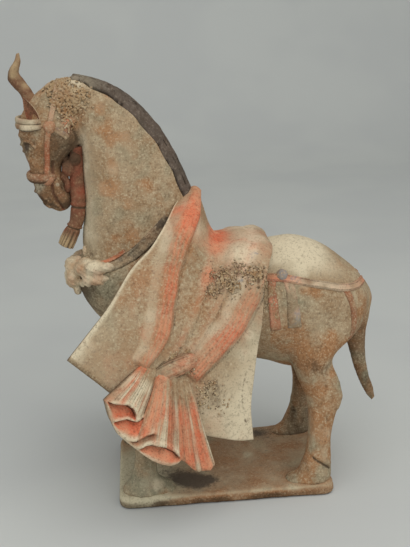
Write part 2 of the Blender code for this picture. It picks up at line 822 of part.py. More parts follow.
def main():
    clear_scene()
    horse()
    plinth().data.materials.append(clay_material("plinth earthenware", PLINTH_CLAY))


main()
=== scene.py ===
import math

import bmesh
import bpy
import numpy as np
from mathutils import Matrix, Vector
from mathutils.bvhtree import BVHTree


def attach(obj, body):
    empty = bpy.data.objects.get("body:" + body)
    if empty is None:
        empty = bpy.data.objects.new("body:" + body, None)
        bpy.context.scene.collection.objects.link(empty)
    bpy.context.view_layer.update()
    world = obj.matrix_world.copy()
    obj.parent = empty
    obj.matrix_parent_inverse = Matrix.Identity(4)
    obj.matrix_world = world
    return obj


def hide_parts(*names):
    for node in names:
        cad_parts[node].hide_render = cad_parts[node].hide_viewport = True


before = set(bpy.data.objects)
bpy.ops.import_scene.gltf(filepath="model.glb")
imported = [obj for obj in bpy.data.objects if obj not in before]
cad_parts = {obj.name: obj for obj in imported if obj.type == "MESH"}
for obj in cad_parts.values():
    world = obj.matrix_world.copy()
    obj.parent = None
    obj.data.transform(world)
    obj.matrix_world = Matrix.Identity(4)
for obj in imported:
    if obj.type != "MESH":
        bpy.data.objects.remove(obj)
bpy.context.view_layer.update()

# Every table is in millimetres, in the figure's own frame: it faces -X, its left flank faces -Y.
mm = 0.001
flanks = {"left": -1, "right": 1}


def curveOf(rows, shares):
    # points at shares 0..1 of the way along the smooth curve through the rows
    rows = np.array(rows, float)
    padded = np.vstack([2 * rows[0] - rows[1], rows, 2 * rows[-1] - rows[-2]])
    place = np.clip(shares, 0, 1) * (len(rows) - 1)
    i = np.minimum(place.astype(int), len(rows) - 2)
    t = (place - i)[..., None]
    a, b, c, d = padded[i], padded[i + 1], padded[i + 2], padded[i + 3]
    square = (2 * a - 5 * b + 4 * c - d) * t**2
    cube = (3 * b - a - 3 * c + d) * t**3
    return 0.5 * (2 * b + (c - a) * t + square + cube)


def unit(vectors):
    return vectors / np.maximum(np.linalg.norm(vectors, axis=-1, keepdims=True), 1e-9)


def step(low, high, value):
    # 0 below low, 1 above high, smooth between
    t = np.clip((value - low) / (high - low), 0, 1)
    return t * t * (3 - 2 * t)


def bump(value, width):
    return np.exp(-(value / width) ** 2)


def cloudy(points, size, seed=0, octaves=2):
    # smooth noise in -1..1, in lumps about size mm across
    total, weight, reach = 0, 1, 0
    for octave in range(octaves):
        place = points * (2**octave / size) + seed * 7.31 + octave * 3.7
        cell = np.floor(place).astype(np.int64)
        f = place - cell
        f = f * f * (3 - 2 * f)
        found = np.zeros(len(points))
        for corner in range(8):
            shift = np.array([corner & 1, corner >> 1 & 1, corner >> 2 & 1])
            c = cell + shift
            mixed = seed * 9176 + octave
            for axis, prime in enumerate((73856093, 19349663, 83492791)):
                mixed = mixed ^ (c[:, axis] * prime)
            mixed = ((mixed ^ (mixed >> 13)) * 1274126177) & 0x7FFFFFFF
            mixed = ((mixed ^ (mixed >> 11)) * 668265263) & 0x7FFFFFFF
            value = (mixed >> 8 & 0xFFFF) / 32767.5 - 1
            found += value * np.prod(np.where(shift, f, 1 - f), axis=1)
        total = total + found * weight
        reach += weight
        weight *= 0.5
    return total / reach * 1.6


def spotted(points, spots):
    # soft patches, each (x, y, z, radius, strength)
    total = np.zeros(len(points))
    for x, y, z, radius, strength in spots:
        away = np.linalg.norm(points - np.array([x, y, z]), axis=1)
        total += strength * np.exp(-((away / radius) ** 2))
    return total


def deselect():
    bpy.ops.object.select_all(action="DESELECT")


def pick(piece):
    deselect()
    bpy.context.view_layer.objects.active = piece
    piece.select_set(True)


def added(name):
    # the primitive just added, under its name
    piece = bpy.context.object
    piece.name = piece.data.name = name
    return piece


def editing(piece):
    pick(piece)
    bpy.ops.object.mode_set(mode="EDIT")
    bpy.ops.mesh.select_mode(type="VERT")
    bpy.ops.mesh.select_all(action="SELECT")


def doneEditing():
    bpy.ops.object.mode_set(mode="OBJECT")


def facedOut(piece):
    editing(piece)
    bpy.ops.mesh.normals_make_consistent(inside=False)
    doneEditing()


def applyModifier(piece, kind, **settings):
    pick(piece)
    modifier = piece.modifiers.new(kind.lower(), kind)
    for key, value in settings.items():
        setattr(modifier, key, value)
    bpy.ops.object.modifier_apply(modifier=modifier.name)


def joined(name, parts):
    deselect()
    for part in parts:
        part.select_set(True)
    bpy.context.view_layer.objects.active = parts[0]
    if len(parts) > 1:
        bpy.ops.object.join()
    parts[0].name = parts[0].data.name = name
    return parts[0]


def readPoints(piece):
    found = np.empty(len(piece.data.vertices) * 3)
    piece.data.vertices.foreach_get("co", found)
    return found.reshape(-1, 3) / mm


def writePoints(piece, points):
    piece.data.vertices.foreach_set("co", (np.asarray(points) * mm).ravel())
    piece.data.update()


def readNormals(piece):
    found = np.empty(len(piece.data.vertices) * 3, np.float32)
    piece.data.vertices.foreach_get("normal", found)
    return found.reshape(-1, 3).astype(float)


def smoothed(piece, points, passes):
    # the points after each has moved halfway to the middle of its neighbours, again and again
    ends = np.empty(len(piece.data.edges) * 2, np.int32)
    piece.data.edges.foreach_get("vertices", ends)
    ends = ends.reshape(-1, 2)
    starts = np.concatenate([ends[:, 0], ends[:, 1]])
    others = np.concatenate([ends[:, 1], ends[:, 0]])
    count = np.maximum(np.bincount(starts, minlength=len(points)), 1)
    found = points.copy()
    for _ in range(passes):
        middle = np.stack(
            [np.bincount(starts, weights=found[others, k], minlength=len(points)) / count for k in range(3)],
            1
        )
        found = (found + middle) / 2
    return found


def sunk(piece, passes):
    # how far each point lies below its smoothed surroundings, in mm; ridges are negative
    points = readPoints(piece)
    return ((smoothed(piece, points, passes) - points) * readNormals(piece)).sum(1)


def pushed(piece, distance):
    # moves each point out along its normal
    writePoints(piece, readPoints(piece) + readNormals(piece) * np.asarray(distance)[:, None])


def roughened(piece, *waves):
    # pushes the surface by noise, each (height, size, seed); gives the points from before
    p = readPoints(piece)
    pushed(piece, sum(height * cloudy(p, size, seed) for height, size, seed in waves))
    return p


def turns(count):
    return 2 * np.pi * np.arange(count) / count


def ballPart(finer):
    # a ball of radius 1 mm
    deselect()
    bpy.ops.mesh.primitive_ico_sphere_add(subdivisions=finer, radius=mm)
    return bpy.context.object, readPoints(bpy.context.object)


def loftPiece(name, rings):
    # a closed piece through rings of points; also gives each vertex its place (ring, way round)
    rings = np.asarray(rings, float)
    count, around = rings.shape[:2]
    deselect()
    bpy.ops.mesh.primitive_circle_add(vertices=around, radius=1, fill_type="NGON")
    piece = added(name)
    editing(piece)
    for _ in range(count - 1):
        bpy.ops.mesh.extrude_region_move(TRANSFORM_OT_translate={"value": (0, 0, 1)})
    doneEditing()
    flat = readPoints(piece) * mm
    turn = np.rint(np.arctan2(flat[:, 1], flat[:, 0]) / (2 * np.pi) * around).astype(int) % around
    ring = np.rint(flat[:, 2]).astype(int)
    writePoints(piece, rings[ring, turn])
    facedOut(piece)
    return piece, ring, turn


def sheetPiece(name, outer, inner):
    # a closed sheet between two grids of points; also gives each vertex its row, column and side
    rows, columns = outer.shape[:2]
    deselect()
    bpy.ops.mesh.primitive_grid_add(x_subdivisions=columns - 1, y_subdivisions=rows - 1, size=2)
    piece = added(name)
    editing(piece)
    bpy.ops.mesh.extrude_region_move(TRANSFORM_OT_translate={"value": (0, 0, -1)})
    doneEditing()
    flat = readPoints(piece) * mm
    row = np.rint((flat[:, 1] + 1) / 2 * (rows - 1)).astype(int)
    column = np.rint((flat[:, 0] + 1) / 2 * (columns - 1)).astype(int)
    under = flat[:, 2] < -0.5
    writePoints(piece, np.where(under[:, None], inner[row, column], outer[row, column]))
    facedOut(piece)
    return piece, row, column, under


def treeOf(*pieces):
    # a search tree over the pieces' faces, in mm
    points, faces, first = [], [], 0
    for piece in pieces:
        found = readPoints(piece)
        points.append(found)
        faces += [tuple(first + i for i in face.vertices) for face in piece.data.polygons]
        first += len(found)
    return BVHTree.FromPolygons(np.concatenate(points).tolist(), faces)


def dropped(tree, points):
    # the nearest surface point to each point, and the way out there
    spots, ways = [], []
    for point in points:
        spot, way, _, _ = tree.find_nearest(Vector(point))
        spots.append(spot)
        ways.append(way)
    return np.array(spots), np.array(ways)


def cast(tree, points, ways, above=30):
    # the surface point met from outside along each way, or the nearest where none is met
    spots = []
    for point, way in zip(points, ways):
        spot = tree.ray_cast(Vector(point + way * above), Vector(-way), above + 30)[0]
        spots.append(spot or tree.find_nearest(Vector(point))[0])
    return np.array(spots)


def evened(rows, passes):
    # a line of points with its kinks smoothed out, the ends kept
    rows = rows.copy()
    for _ in range(passes):
        rows[1:-1] = (rows[:-2] + 2 * rows[1:-1] + rows[2:]) / 4
    return rows


def stroked(points, strokes):
    # soft ridges (+) and grooves (-) along lines: each (line, width, height)
    total = np.zeros(len(points))
    for line, width, height in strokes:
        line = curveOf(line, np.linspace(0, 1, 24))
        low, high = line.min(0) - 3 * width, line.max(0) + 3 * width
        near = np.flatnonzero(((points > low) & (points < high)).all(1))
        if len(near):
            away = np.linalg.norm(points[near, None] - line[None], axis=2).min(1)
            total[near] += height * bump(away, width)
    return total


def bothFlanks(rows):
    # table rows whose second value lies out from the middle, for each flank
    return [(row[0], side * row[1], *row[2:]) for side in flanks.values() for row in rows]


def patches(points, rows):
    return spotted(points, bothFlanks(rows))


def sidedName(flank, name):
    return f"{flank}{name[0].upper()}{name[1:]}"


def onFlank(tree, rows, side):
    # the (x, z) rows as points of the surface seen from that flank
    rows = np.array([(x, side * 30, z) for x, z in rows], float)
    return cast(tree, rows, np.array([[0, side, 0]] * len(rows), float), 90)


def bothStrokes(tree, strokes):
    return [
        (onFlank(tree, line, side), width, height) for side in flanks.values()
        for line, width, height in strokes
    ]


def mark(piece, name, values):
    # a painted value for each point, which the finish reads
    layer = piece.data.attributes.new(name, "FLOAT", "POINT")
    layer.data.foreach_set("value", np.clip(values, 0, 1).astype(np.float32))


def outward(rows, side):
    return [(row[0], side * row[1], row[2]) for row in rows]


class Wire:
    # a node's output, with sums written as ordinary Python
    def __init__(self, finish, socket):
        self.finish, self.socket = finish, socket

    def math(self, operation, first, second):
        return self.finish.add("ShaderNodeMath", {"operation": operation}, {0: first, 1: second})

    def __add__(self, other):
        return self.math("ADD", self, other)

    def __sub__(self, other):
        return self.math("SUBTRACT", self, other)

    def __rsub__(self, other):
        return self.math("SUBTRACT", other, self)

    def __mul__(self, other):
        return self.math("MULTIPLY", self, other)

    def __pow__(self, other):
        return self.math("POWER", self, other)

    __radd__ = __add__
    __rmul__ = __mul__

    def between(self, low, high):
        # 0 at low, 1 at high
        return self.finish.add(
            "ShaderNodeMapRange", {"interpolation_type": "SMOOTHSTEP"},
            {"Value": self, "From Min": low, "From Max": high},
        )


class Finish:
    def __init__(self, name):
        self.material = bpy.data.materials.new(name)
        self.material.use_nodes = True
        self.tree = self.material.node_tree
        self.shader = self.tree.nodes["Principled BSDF"]
        self.place = self.add("ShaderNodeTexCoord", output="Object")

    def add(self, kind, settings=None, values=None, output=0):
        node = self.tree.nodes.new(kind)
        for key, value in (settings or {}).items():
            setattr(node, key, value)
        for key, value in (values or {}).items():
            if isinstance(value, Wire):
                self.tree.links.new(value.socket, node.inputs[key])
            else:
                node.inputs[key].default_value = value
        return Wire(self, node.outputs[output])

    def noise(self, size, detail=3, rough=0.6, warp=0.0):
        # lumps about size mm across
        values = {"Scale": 1000 / size, "Detail": detail, "Roughness": rough, "Distortion": warp}
        return self.add("ShaderNodeTexNoise", {}, {"Vector": self.place, **values})

    def painted(self, name):
        return self.add("ShaderNodeAttribute", {"attribute_name": name}, output="Fac")

    def mix(self, share, first, second):
        return self.add("ShaderNodeMix", {"data_type": "RGBA"}, {0: share, 6: first, 7: second}, 2)

    def into(self, socket, wire):
        self.tree.links.new(wire.socket, self.shader.inputs[socket])


def tint(red, green, blue):
    # screen colours 0..255 as the shader's linear ones
    found = [c / 255 for c in (red, green, blue)]
    return (*[c / 12.92 if c <= 0.04045 else ((c + 0.055) / 1.055) ** 2.4 for c in found], 1)


# screen colours 0..255
clayLook = {
    "tan": (174, 154, 124),
    "brown": (150, 122, 90),
    "rust": (164, 114, 72),
    "cream": (216, 202, 172),
    "grey": (134, 130, 106),
    "paint": (214, 112, 78),
    "faded paint": (216, 152, 116),
    "dirtAndShade": (78, 62, 46),
    "dark": (84, 74, 64),
    "crust": (186, 164, 130),
    "crust hollow": (70, 54, 40),
    "spots": (146, 152, 154),
}
grainHeight = 0.75


def clayFinish(name, changes={}):
    # unglazed clay with worn paint; each piece carries the painted values, point by point
    look = {key: tint(*colour) for key, colour in {**clayLook, **changes}.items()}
    f = Finish(name)
    cloud = f.noise(40, 3, 0.55)
    mottle = f.noise(12, 4, 0.6, 0.3)
    grain = f.noise(3.4, 4, 0.62)
    grit = f.noise(1.5, 3, 0.6)
    dust = f.noise(0.8, 2, 0.5)
    rough = (mottle - 0.5) * 0.8 + (grain - 0.5) * 0.7 + (grit - 0.5) * 0.6
    colour = f.mix(
        cloud.between(0.35, 0.65) * 0.5 + mottle.between(0.42, 0.6) * 0.4, look["tan"], look["brown"]
    )
    colour = f.mix(f.painted("green") * f.noise(15, 4, 0.6).between(0.2, 0.55) * 0.9, colour, look["grey"])
    colour = f.mix((f.painted("warm") * 1.1 + rough * 0.9).between(0.15, 1.1) * 0.8, colour, look["rust"])
    colour = f.mix((f.painted("pale") + rough * 0.7).between(0.1, 0.85) * 0.92, colour, look["cream"])
    colour = f.mix((1 - grain.between(0.3, 0.5)) * 0.2, colour, look["cream"])
    colour = f.mix((1 - grit.between(0.34, 0.45)) * 0.34, colour, look["cream"])
    # paint, thin and flaking, patchy where it has faded
    paint = (f.painted("paint") + rough * 0.34).between(0.02, 0.86)
    hue = f.mix(f.noise(16, 4, 0.55).between(0.34, 0.64) * 0.85, look["paint"], look["faded paint"])
    colour = f.mix(paint * (0.8 + 0.2 * grit.between(0.35, 0.55)), colour, hue)
    colour = f.mix((f.painted("dark") + rough * 0.8).between(0.2, 0.75) * 0.9, colour, look["dark"])
    # dark grains and pits all over
    colour = f.mix(grain.between(0.52, 0.66) * 0.27, colour, look["dirtAndShade"])
    colour = f.mix(grit.between(0.55, 0.66) * 0.36, colour, look["dirtAndShade"])
    # dirt, and painted shade in hollows, grooves and under parts, from each piece's marks
    colour = f.mix((f.painted("dirtAndShade") + (grit - 0.5) * 0.6).between(0.15, 0.9) * 0.88, colour, look["dirtAndShade"])
    crust = (f.painted("crust") + rough * 0.9).between(0.3, 0.6)
    crumb = f.mix((grit * 0.6 + grain * 0.4).between(0.42, 0.56), look["crust"], look["crust hollow"])
    colour = f.mix(crust, colour, crumb)
    colour = f.mix((f.painted("blue") + rough).between(0.3, 0.8) * 0.8, colour, look["spots"])
    f.into("Base Color", colour)
    f.into("Roughness", 0.84 + 0.12 * grain)
    f.shader.inputs["Specular IOR Level"].default_value = 0.22
    height = grain * 0.8 + grit * 0.6 + dust * 0.35 + f.painted("crust") * grit * 1.6
    relief = {"Strength": 0.7, "Distance": grainHeight * mm, "Height": height}
    f.into("Normal", f.add("ShaderNodeBump", {}, relief))
    return f.material


clay = clayFinish("painted clay")
maneClay = clayFinish("mane clay", {
    "tan": (104, 92, 82), "brown": (84, 72, 64), "rust": (122, 98, 76), "cream": (156, 142, 122),
})
harnessClay = clayFinish(
    "harness clay", {"tan": (166, 134, 102), "brown": (138, 100, 74), "rust": (158, 92, 60)}
)
ropeClay = clayFinish("rope clay", {
    "tan": (130, 94, 70), "brown": (100, 70, 52), "rust": (126, 72, 50), "cream": (184, 160, 122),
    "paint": (146, 70, 50), "faded paint": (146, 92, 70),
})
crustClay = clayFinish("crust clay", {
    "tan": (176, 152, 116), "brown": (140, 108, 76), "rust": (150, 104, 62), "dirtAndShade": (66, 50, 36),
})
plinthClay = clayFinish("plinth clay", {
    "tan": (168, 136, 104), "brown": (148, 114, 84), "rust": (154, 104, 64), "cream": (200, 190, 160),
    "grey": (146, 144, 118), "dirtAndShade": (74, 58, 40),
})

allMarks = ("warm", "green", "pale", "paint", "dark", "dirtAndShade", "crust", "blue")


def finishPiece(piece, finish, marks):
    for name in allMarks:
        mark(piece, name, np.zeros(len(piece.data.vertices)) + marks.get(name, 0))
    piece.data.materials.clear()
    piece.data.materials.append(finish)
    pick(piece)
    bpy.ops.object.shade_smooth()
    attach(piece, "root")
    print(piece.name, len(piece.data.polygons), "faces")


viewShape = {
    "target": (-8.1, 0, 180.3), "around": -3.87, "above": 16.91, "roll": -2.27, "away": 760, "lens": 60.63
}


def placeCamera():
    a, e, r = (math.radians(viewShape[key]) for key in ("around", "above", "roll"))
    back = Vector((math.sin(a) * math.cos(e), -math.cos(a) * math.cos(e), math.sin(e)))
    right = Vector((math.cos(a), math.sin(a), 0))
    up = back.cross(right)
    turned = (math.cos(r) * right + math.sin(r) * up, math.cos(r) * up - math.sin(r) * right, back)
    data = bpy.data.cameras.new("camera")
    data.sensor_width, data.lens = 36, viewShape["lens"]
    data.clip_start, data.clip_end = 0.05, 20
    camera = bpy.data.objects.new("camera", data)
    bpy.context.scene.collection.objects.link(camera)
    spot = Vector(viewShape["target"]) * mm + back * viewShape["away"] * mm
    camera.matrix_world = Matrix.Translation(spot) @ Matrix(turned).transposed().to_4x4()
    bpy.context.scene.camera = camera


lightShape = {
    # name: (place, aimed at, size, watts, colour)
    "top light": ((0.3, -0.7, 1.5), (0, 0, 0.15), 1.6, 12, (1, 0.985, 0.96)),
    "front light": ((0.4, -1.7, 0.9), (0, 0, 0.16), 1.5, 9, (0.98, 0.99, 1)),
    "left light": ((-1.4, -0.6, 0.9), (0, 0, 0.2), 1.2, 3.5, (0.97, 0.98, 1)),
    "wall light": ((-0.5, 0.7, 1.9), (-0.7, 2.1, 1.5), 1.0, 5, (1, 1, 1)),
}

worldShape = {"colour": (0.86, 0.88, 0.88, 1), "strength": 0.46}


def placeLights():
    for name, (place, aim, size, watts, colour) in lightShape.items():
        data = bpy.data.lights.new(name, "AREA")
        data.size, data.energy, data.color = size, watts, colour
        light = bpy.data.objects.new(name, data)
        bpy.context.scene.collection.objects.link(light)
        light.location = place
        light.rotation_euler = (Vector(aim) - Vector(place)).to_track_quat("-Z", "Y").to_euler()
    world = bpy.data.worlds.new("studio")
    bpy.context.scene.world = world
    world.use_nodes = True
    sky = world.node_tree.nodes["Background"].inputs
    sky["Color"].default_value, sky["Strength"].default_value = worldShape["colour"], worldShape["strength"]


# metres: a sheet level to a line, then curved up into a wall
floorShape = {"half width": 3, "front": -2, "long": 6, "level to": 1.4, "bend": 1.1, "radius": 0.7}


def placeFloor():
    shape = floorShape
    deselect()
    bpy.ops.mesh.primitive_grid_add(x_subdivisions=2, y_subdivisions=40, size=2)
    floor = added("floor")
    flat = readPoints(floor) * mm
    level, bend, radius = shape["level to"], shape["bend"], shape["radius"]
    run = (flat[:, 1] + 1) / 2 * shape["long"] + shape["front"]
    turned = np.clip((run - level) / bend, 0, 1) * np.pi / 2
    depth = np.where(run < level, run, level + radius * np.sin(turned))
    wall = radius * (1 - np.cos(turned)) + np.maximum(run - level - bend, 0)
    height = np.where(run < level, 0, wall)
    writePoints(floor, np.stack([flat[:, 0] * shape["half width"], depth, height], 1) / mm)
    f = Finish("floor")
    f.into("Base Color", f.mix(f.noise(300, 2).between(0.4, 0.6), tint(202, 204, 200), tint(198, 200, 197)))
    f.shader.inputs["Roughness"].default_value = 0.9
    floor.data.materials.append(f.material)
    bpy.ops.object.shade_smooth()


placeCamera()
placeLights()
placeFloor()
bpy.context.scene.view_settings.view_transform = "Standard"
print("camera, lights and floor are placed")


# A limb row is (front x, front z, back x, back z, side y, half width); a torso row is
# (x, low z, high z, half width).
horseShape = {
    "voxel": 1.64,
    "softening": 14,
    "torso": [
        (-112, 178, 196, 12), (-106, 164, 206, 24), (-94, 148, 212, 33), (-72, 130, 215, 39),
        (-45, 119, 214, 42), (-14, 112, 209, 44), (16, 109, 206, 45), (42, 103, 207, 45),
        (64, 96, 209, 45), (86, 100, 202, 44), (104, 112, 189, 39), (118, 126, 176, 28), (126, 142, 164, 12),
    ],
    "neck": [
        (-102, 184, -8, 186, 0, 33), (-106, 203, -10, 216, 0, 31), (-106, 219, -16, 246, 0, 29),
        (-103, 236, -23, 267, 0, 26.5), (-102, 254, -31, 286, 0, 24), (-102, 272, -44, 307, 0, 21.5),
        (-101, 290, -60, 325, 0, 20), (-102, 305, -77, 337, 0, 18.5), (-108, 318, -94, 343, 0, 17),
        (-116, 330, -106, 345, 0, 12),
    ],
    "head": [
        (-123, 341, -104, 343, 0, 9), (-135, 331, -97, 335, 0, 14.5), (-144, 320, -96, 321, 0, 18),
        (-148, 309, -98, 307, 0, 19), (-148, 298, -102, 294, 0, 18), (-146, 288, -113, 283, 0, 14.5),
        (-143, 278, -118, 274, 0, 12), (-142, 268, -117, 265, 0, 11.5), (-140, 259, -113, 257, 0, 12),
        (-137, 251, -111, 249, 0, 11.5), (-131, 244, -113, 243, 0, 9), (-123, 239, -117, 240, 0, 4),
    ],
    "tail": [
        (96, 172, 108, 178, 0, 7), (104, 164, 122, 171, 0, 9), (111, 152, 131, 156, 0, 9.5),
        (112, 138, 130, 140, 0, 9), (110, 120, 127, 121, 0, 8), (113, 104, 127, 105, 0, 7),
        (117, 89, 128, 92, 0, 6), (122, 74, 131, 79, 0, 5), (128, 62, 135, 68, 0, 3.6),
        (133, 55.5, 136.5, 58, 0, 1.6),
    ],
    "hind leg": [
        (52, 150, 118, 152, 22, 20), (53, 128, 112, 134, 26, 21), (58, 110, 96, 118, 30, 18),
        (62, 96, 91, 108, 33, 14), (67, 84, 96, 95, 35, 11.5), (69, 74, 98, 82, 37, 11),
        (70, 62, 93, 66, 39, 9.5), (69, 48, 89, 50, 41, 9), (67, 36, 88, 37, 43, 9.5),
        (65, 30, 88, 25, 44, 10.5), (61, 20, 88, 16, 45, 12), (58, 12, 87, 12, 45.5, 12.5),
        (58, 10.1, 87, 10.1, 45.5, 12.5),
    ],
    # clay banked round the hooves: (x, out y, z, half x, half y, half z)
    "mounds": [
        (-66, 45, 10, 21, 12.8, 15), (-54, 44.5, 10, 13, 11.5, 9), (70, 45, 10, 17, 12.6, 10),
        (61, 44, 10, 12, 11, 6),
    ],
    "foreleg": [
        (-88, 158, -42, 158, 20, 19), (-86, 134, -46, 134, 25, 18), (-82, 112, -51, 112, 30, 14.5),
        (-79, 92, -55, 92, 34, 11.5), (-78, 76, -56, 76, 36, 11), (-76, 64, -58, 63, 38, 9.5),
        (-75, 48, -58, 47, 41, 9), (-76, 36, -57, 35, 44, 9.5), (-78, 29, -56, 24, 45, 10.5),
        (-80, 19, -54, 15, 46, 12), (-82, 12, -54, 12, 46, 12.5), (-82, 10.1, -54, 10.1, 46, 12.5),
    ],
}


def ovalRings(rows, around, stations, pinch=0.0, side=1):
    # oval rings whose long axis runs from each row's front point to its back point
    rows = curveOf(rows, np.linspace(0, 1, stations))
    turn = turns(around)
    front, back = rows[:, None, 0:2], rows[:, None, 2:4]
    profile = (front + back) / 2 + (back - front) / 2 * np.cos(turn)[None, :, None]
    width = rows[:, None, 5] * np.sin(turn) * (1 - pinch * (1 + np.cos(turn)) / 2)
    return np.stack([profile[..., 0], side * rows[:, None, 4] + width, profile[..., 1]], -1)


def bareHorse():
    shape = horseShape
    upright = [(x, low, x, high, 0, half) for x, low, high, half in shape["torso"]]
    limbs = [
        ovalRings(upright, 56, 56),
        ovalRings(shape["neck"], 48, 44, 0.45),
        ovalRings(shape["head"], 44, 48, 0.1),
        ovalRings(shape["tail"], 24, 40),
    ]
    for side in flanks.values():
        limbs.append(ovalRings(shape["hind leg"], 32, 50, side=side))
        limbs.append(ovalRings(shape["foreleg"], 32, 46, side=side))
    parts = [loftPiece("limb", rings)[0] for rings in limbs]
    for x, y, z, *half in bothFlanks(shape["mounds"]):
        mound, ball = ballPart(4)
        ball = ball * np.array(half) + np.array([x, y, z])
        ball[:, 2] = np.maximum(ball[:, 2], 9)  # flat below, out of sight in the plinth
        writePoints(mound, ball)
        parts.append(mound)
    horse = joined("bareHorse", parts)
    applyModifier(horse, "REMESH", mode="VOXEL", voxel_size=shape["voxel"] * mm)
    applyModifier(horse, "SMOOTH", factor=0.5, iterations=shape["softening"])
    return horse


headShape = {
    "before x": -98,
    "above z": 236,
    # ridges (+) and grooves (-) of each side: (line of x, z), width, height in mm
    "strokes": {
        "upper lid": ([(-146.5, 295), (-144, 297.5), (-139.5, 297.5), (-135.5, 293.5)], 1.2, 1.7),
        "lower lid": ([(-145.5, 289.5), (-142, 287.5), (-137.5, 288.5), (-135, 291)], 1.1, 1.0),
        "brow": ([(-147, 302), (-142, 303.5), (-136, 301), (-131.5, 295)], 2.2, 1.3),
        "cheekbone": ([(-141, 283), (-137, 278), (-133.5, 274)], 2.2, 1.0),
        "nostril": ([(-137.2, 255), (-134.5, 252), (-131.5, 249.5)], 1.35, -3.2),
        "nostril rim": ([(-139, 257.5), (-135.5, 255.6), (-131.5, 252.8), (-128.5, 249)], 1.4, 1.8),
        "upper lip": ([(-136.5, 250.5), (-133, 246.8), (-129, 244.5)], 1.4, 1.2),
        "mouth": ([(-125.5, 262), (-125, 256), (-122.5, 250), (-119.5, 244.5), (-118.8, 242)], 0.95, -2.2),
        "cheek line": ([(-123.5, 281), (-124.5, 272), (-125.4, 263)], 0.9, -0.9),
        "mouth rim": ([(-127.8, 259), (-126.5, 252.5), (-123, 246)], 1.5, 0.8),
        "jaw": ([(-121.5, 262), (-118.5, 256), (-116, 249.5)], 2.6, 1.4),
        "jaw line": ([(-115.5, 272), (-108, 282), (-104.5, 295), (-106.5, 307)], 1.8, -1.3),
        "cheek": ([(-119, 283), (-112, 291), (-110, 302)], 5.0, 1.5),
    },
    # (x, out y, z, radius, height)
    "hollows": [
        (-142, 11.5, 293, 4.4, -2.0), (-134, 14, 285, 5, -1.0), (-117.5, 8, 259.5, 1.2, -2.2),
        (-130, 11, 276, 4, -0.7)
    ],
    "swells": [(-141.5, 10.5, 292.6, 2.4, 2.6), (-133.5, 7, 259, 4, 0.6), (-117, 6, 248, 5, 0.8)],
}
legShape = {
    # ridges (+) and grooves (-) of each side: (line of x, z), width, height in mm
    "hoof crack": ([(66, 34.5), (72, 32), (79, 27), (85, 21.5)], 1.2, -1.6),
    "hoof rim": ([(66, 37.5), (72, 35), (79, 30), (86, 25)], 1.8, 0.9),
    "tendon": ([(84, 66), (82.5, 54), (82, 42)], 2.0, -1.3),
    "fore tendon": ([(-62, 62), (-62.5, 50), (-63, 38)], 1.8, -0.9),
    "shin": ([(75, 70), (74, 56), (72, 42)], 2.6, 0.8),
    "hock": ([(92, 88), (96, 80), (94, 73)], 4.0, 1.6),
    "hock hollow": ([(84, 92), (86, 82), (84, 74)], 2.6, -1.0),
    "stifle": ([(58, 122), (66, 130), (72, 142)], 7.0, 1.4),
    "thigh hollow": ([(84, 150), (90, 134), (92, 116), (88, 104)], 4.5, -1.2),
    "flank hollow": ([(47, 176), (50, 160), (52, 140)], 6.0, -1.3),
    "hip": ([(74, 196), (82, 192), (88, 184)], 7.0, 0.9),
}


def shapeHorse():
    # finer faces on the head and the near hind hoof, then the face and the legs in low relief
    shape = headShape
    x, y, z = readPoints(horse).T
    head = (x < shape["before x"]) & (z > shape["above z"]) & (z < 350)
    nearHoof = (z < 38) & (x > 50) & (y < 0)
    editing(horse)
    bpy.ops.mesh.select_all(action="DESELECT")
    mesh = bmesh.from_edit_mesh(horse.data)
    for vertex, inside in zip(mesh.verts, head | nearHoof):
        vertex.select_set(bool(inside))
    mesh.select_flush_mode()
    bmesh.update_edit_mesh(horse.data)
    bpy.ops.mesh.subdivide(number_cuts=1, smoothness=0)
    doneEditing()
    p = readPoints(horse)
    tree = treeOf(horse)
    rise = stroked(p, bothStrokes(tree, shape["strokes"].values()))
    rise += stroked(p, bothStrokes(tree, legShape.values()))
    rise += patches(p, shape["hollows"]) + patches(p, shape["swells"])
    pushed(horse, rise)


horse = bareHorse()
shapeHorse()
print("the bare horse is fused:", len(horse.data.polygons), "faces")
horseTree = treeOf(horse)


crustShape = {
    # grains grown on the clay: (x, out y, z, spread, grains) on the left flank, fewer on the right
    "patches": {
        "poll": [
            (-107, 12, 331, 9, 260), (-103, 15, 322, 7, 170), (-113, 9, 338, 6, 140), (-98, 16, 333, 8, 120),
            (-106, 16, 309, 5, 50), (-112, 4, 343, 6, 80), (-116, 13, 326, 6, 110), (-120, 10, 335, 5, 60),
            (-110, 16, 316, 5, 60),
        ],
        "saddle": [
            (1, 48, 190, 9, 300), (9, 50, 184, 8, 190), (29, 50, 193, 7, 200), (34, 52, 184, 6, 140),
            (36, 50, 174, 6, 110), (16, 46, 197, 8, 90), (35, 54, 162, 5, 80), (34, 56, 150, 4, 40),
            (20, 50, 190, 9, 120), (-6, 52, 182, 6, 70),
        ],
        "knot": [(-35, 78, 135, 5, 140), (-31, 76, 129, 5, 90), (-38, 80, 139, 4, 60), (-28, 74, 139, 5, 70)],
        "panel": [(-17, 75, 106, 9, 110), (-12, 74, 113, 7, 60), (-6, 76, 98, 9, 50), (-20, 76, 97, 6, 30)],
        "strap": [(42, 50, 178, 6, 80), (41, 50, 166, 5, 60), (44, 50, 190, 4, 30), (42, 50, 154, 4, 30)],
    },
    "on the cloth": ("saddle", "knot", "panel"),
    "grain": (0.32, 0.85),
    "coarser": {"poll": 1.35},
    "voxel": 0.36,
    "share": {"left": 1.0, "right": 0.4},
}


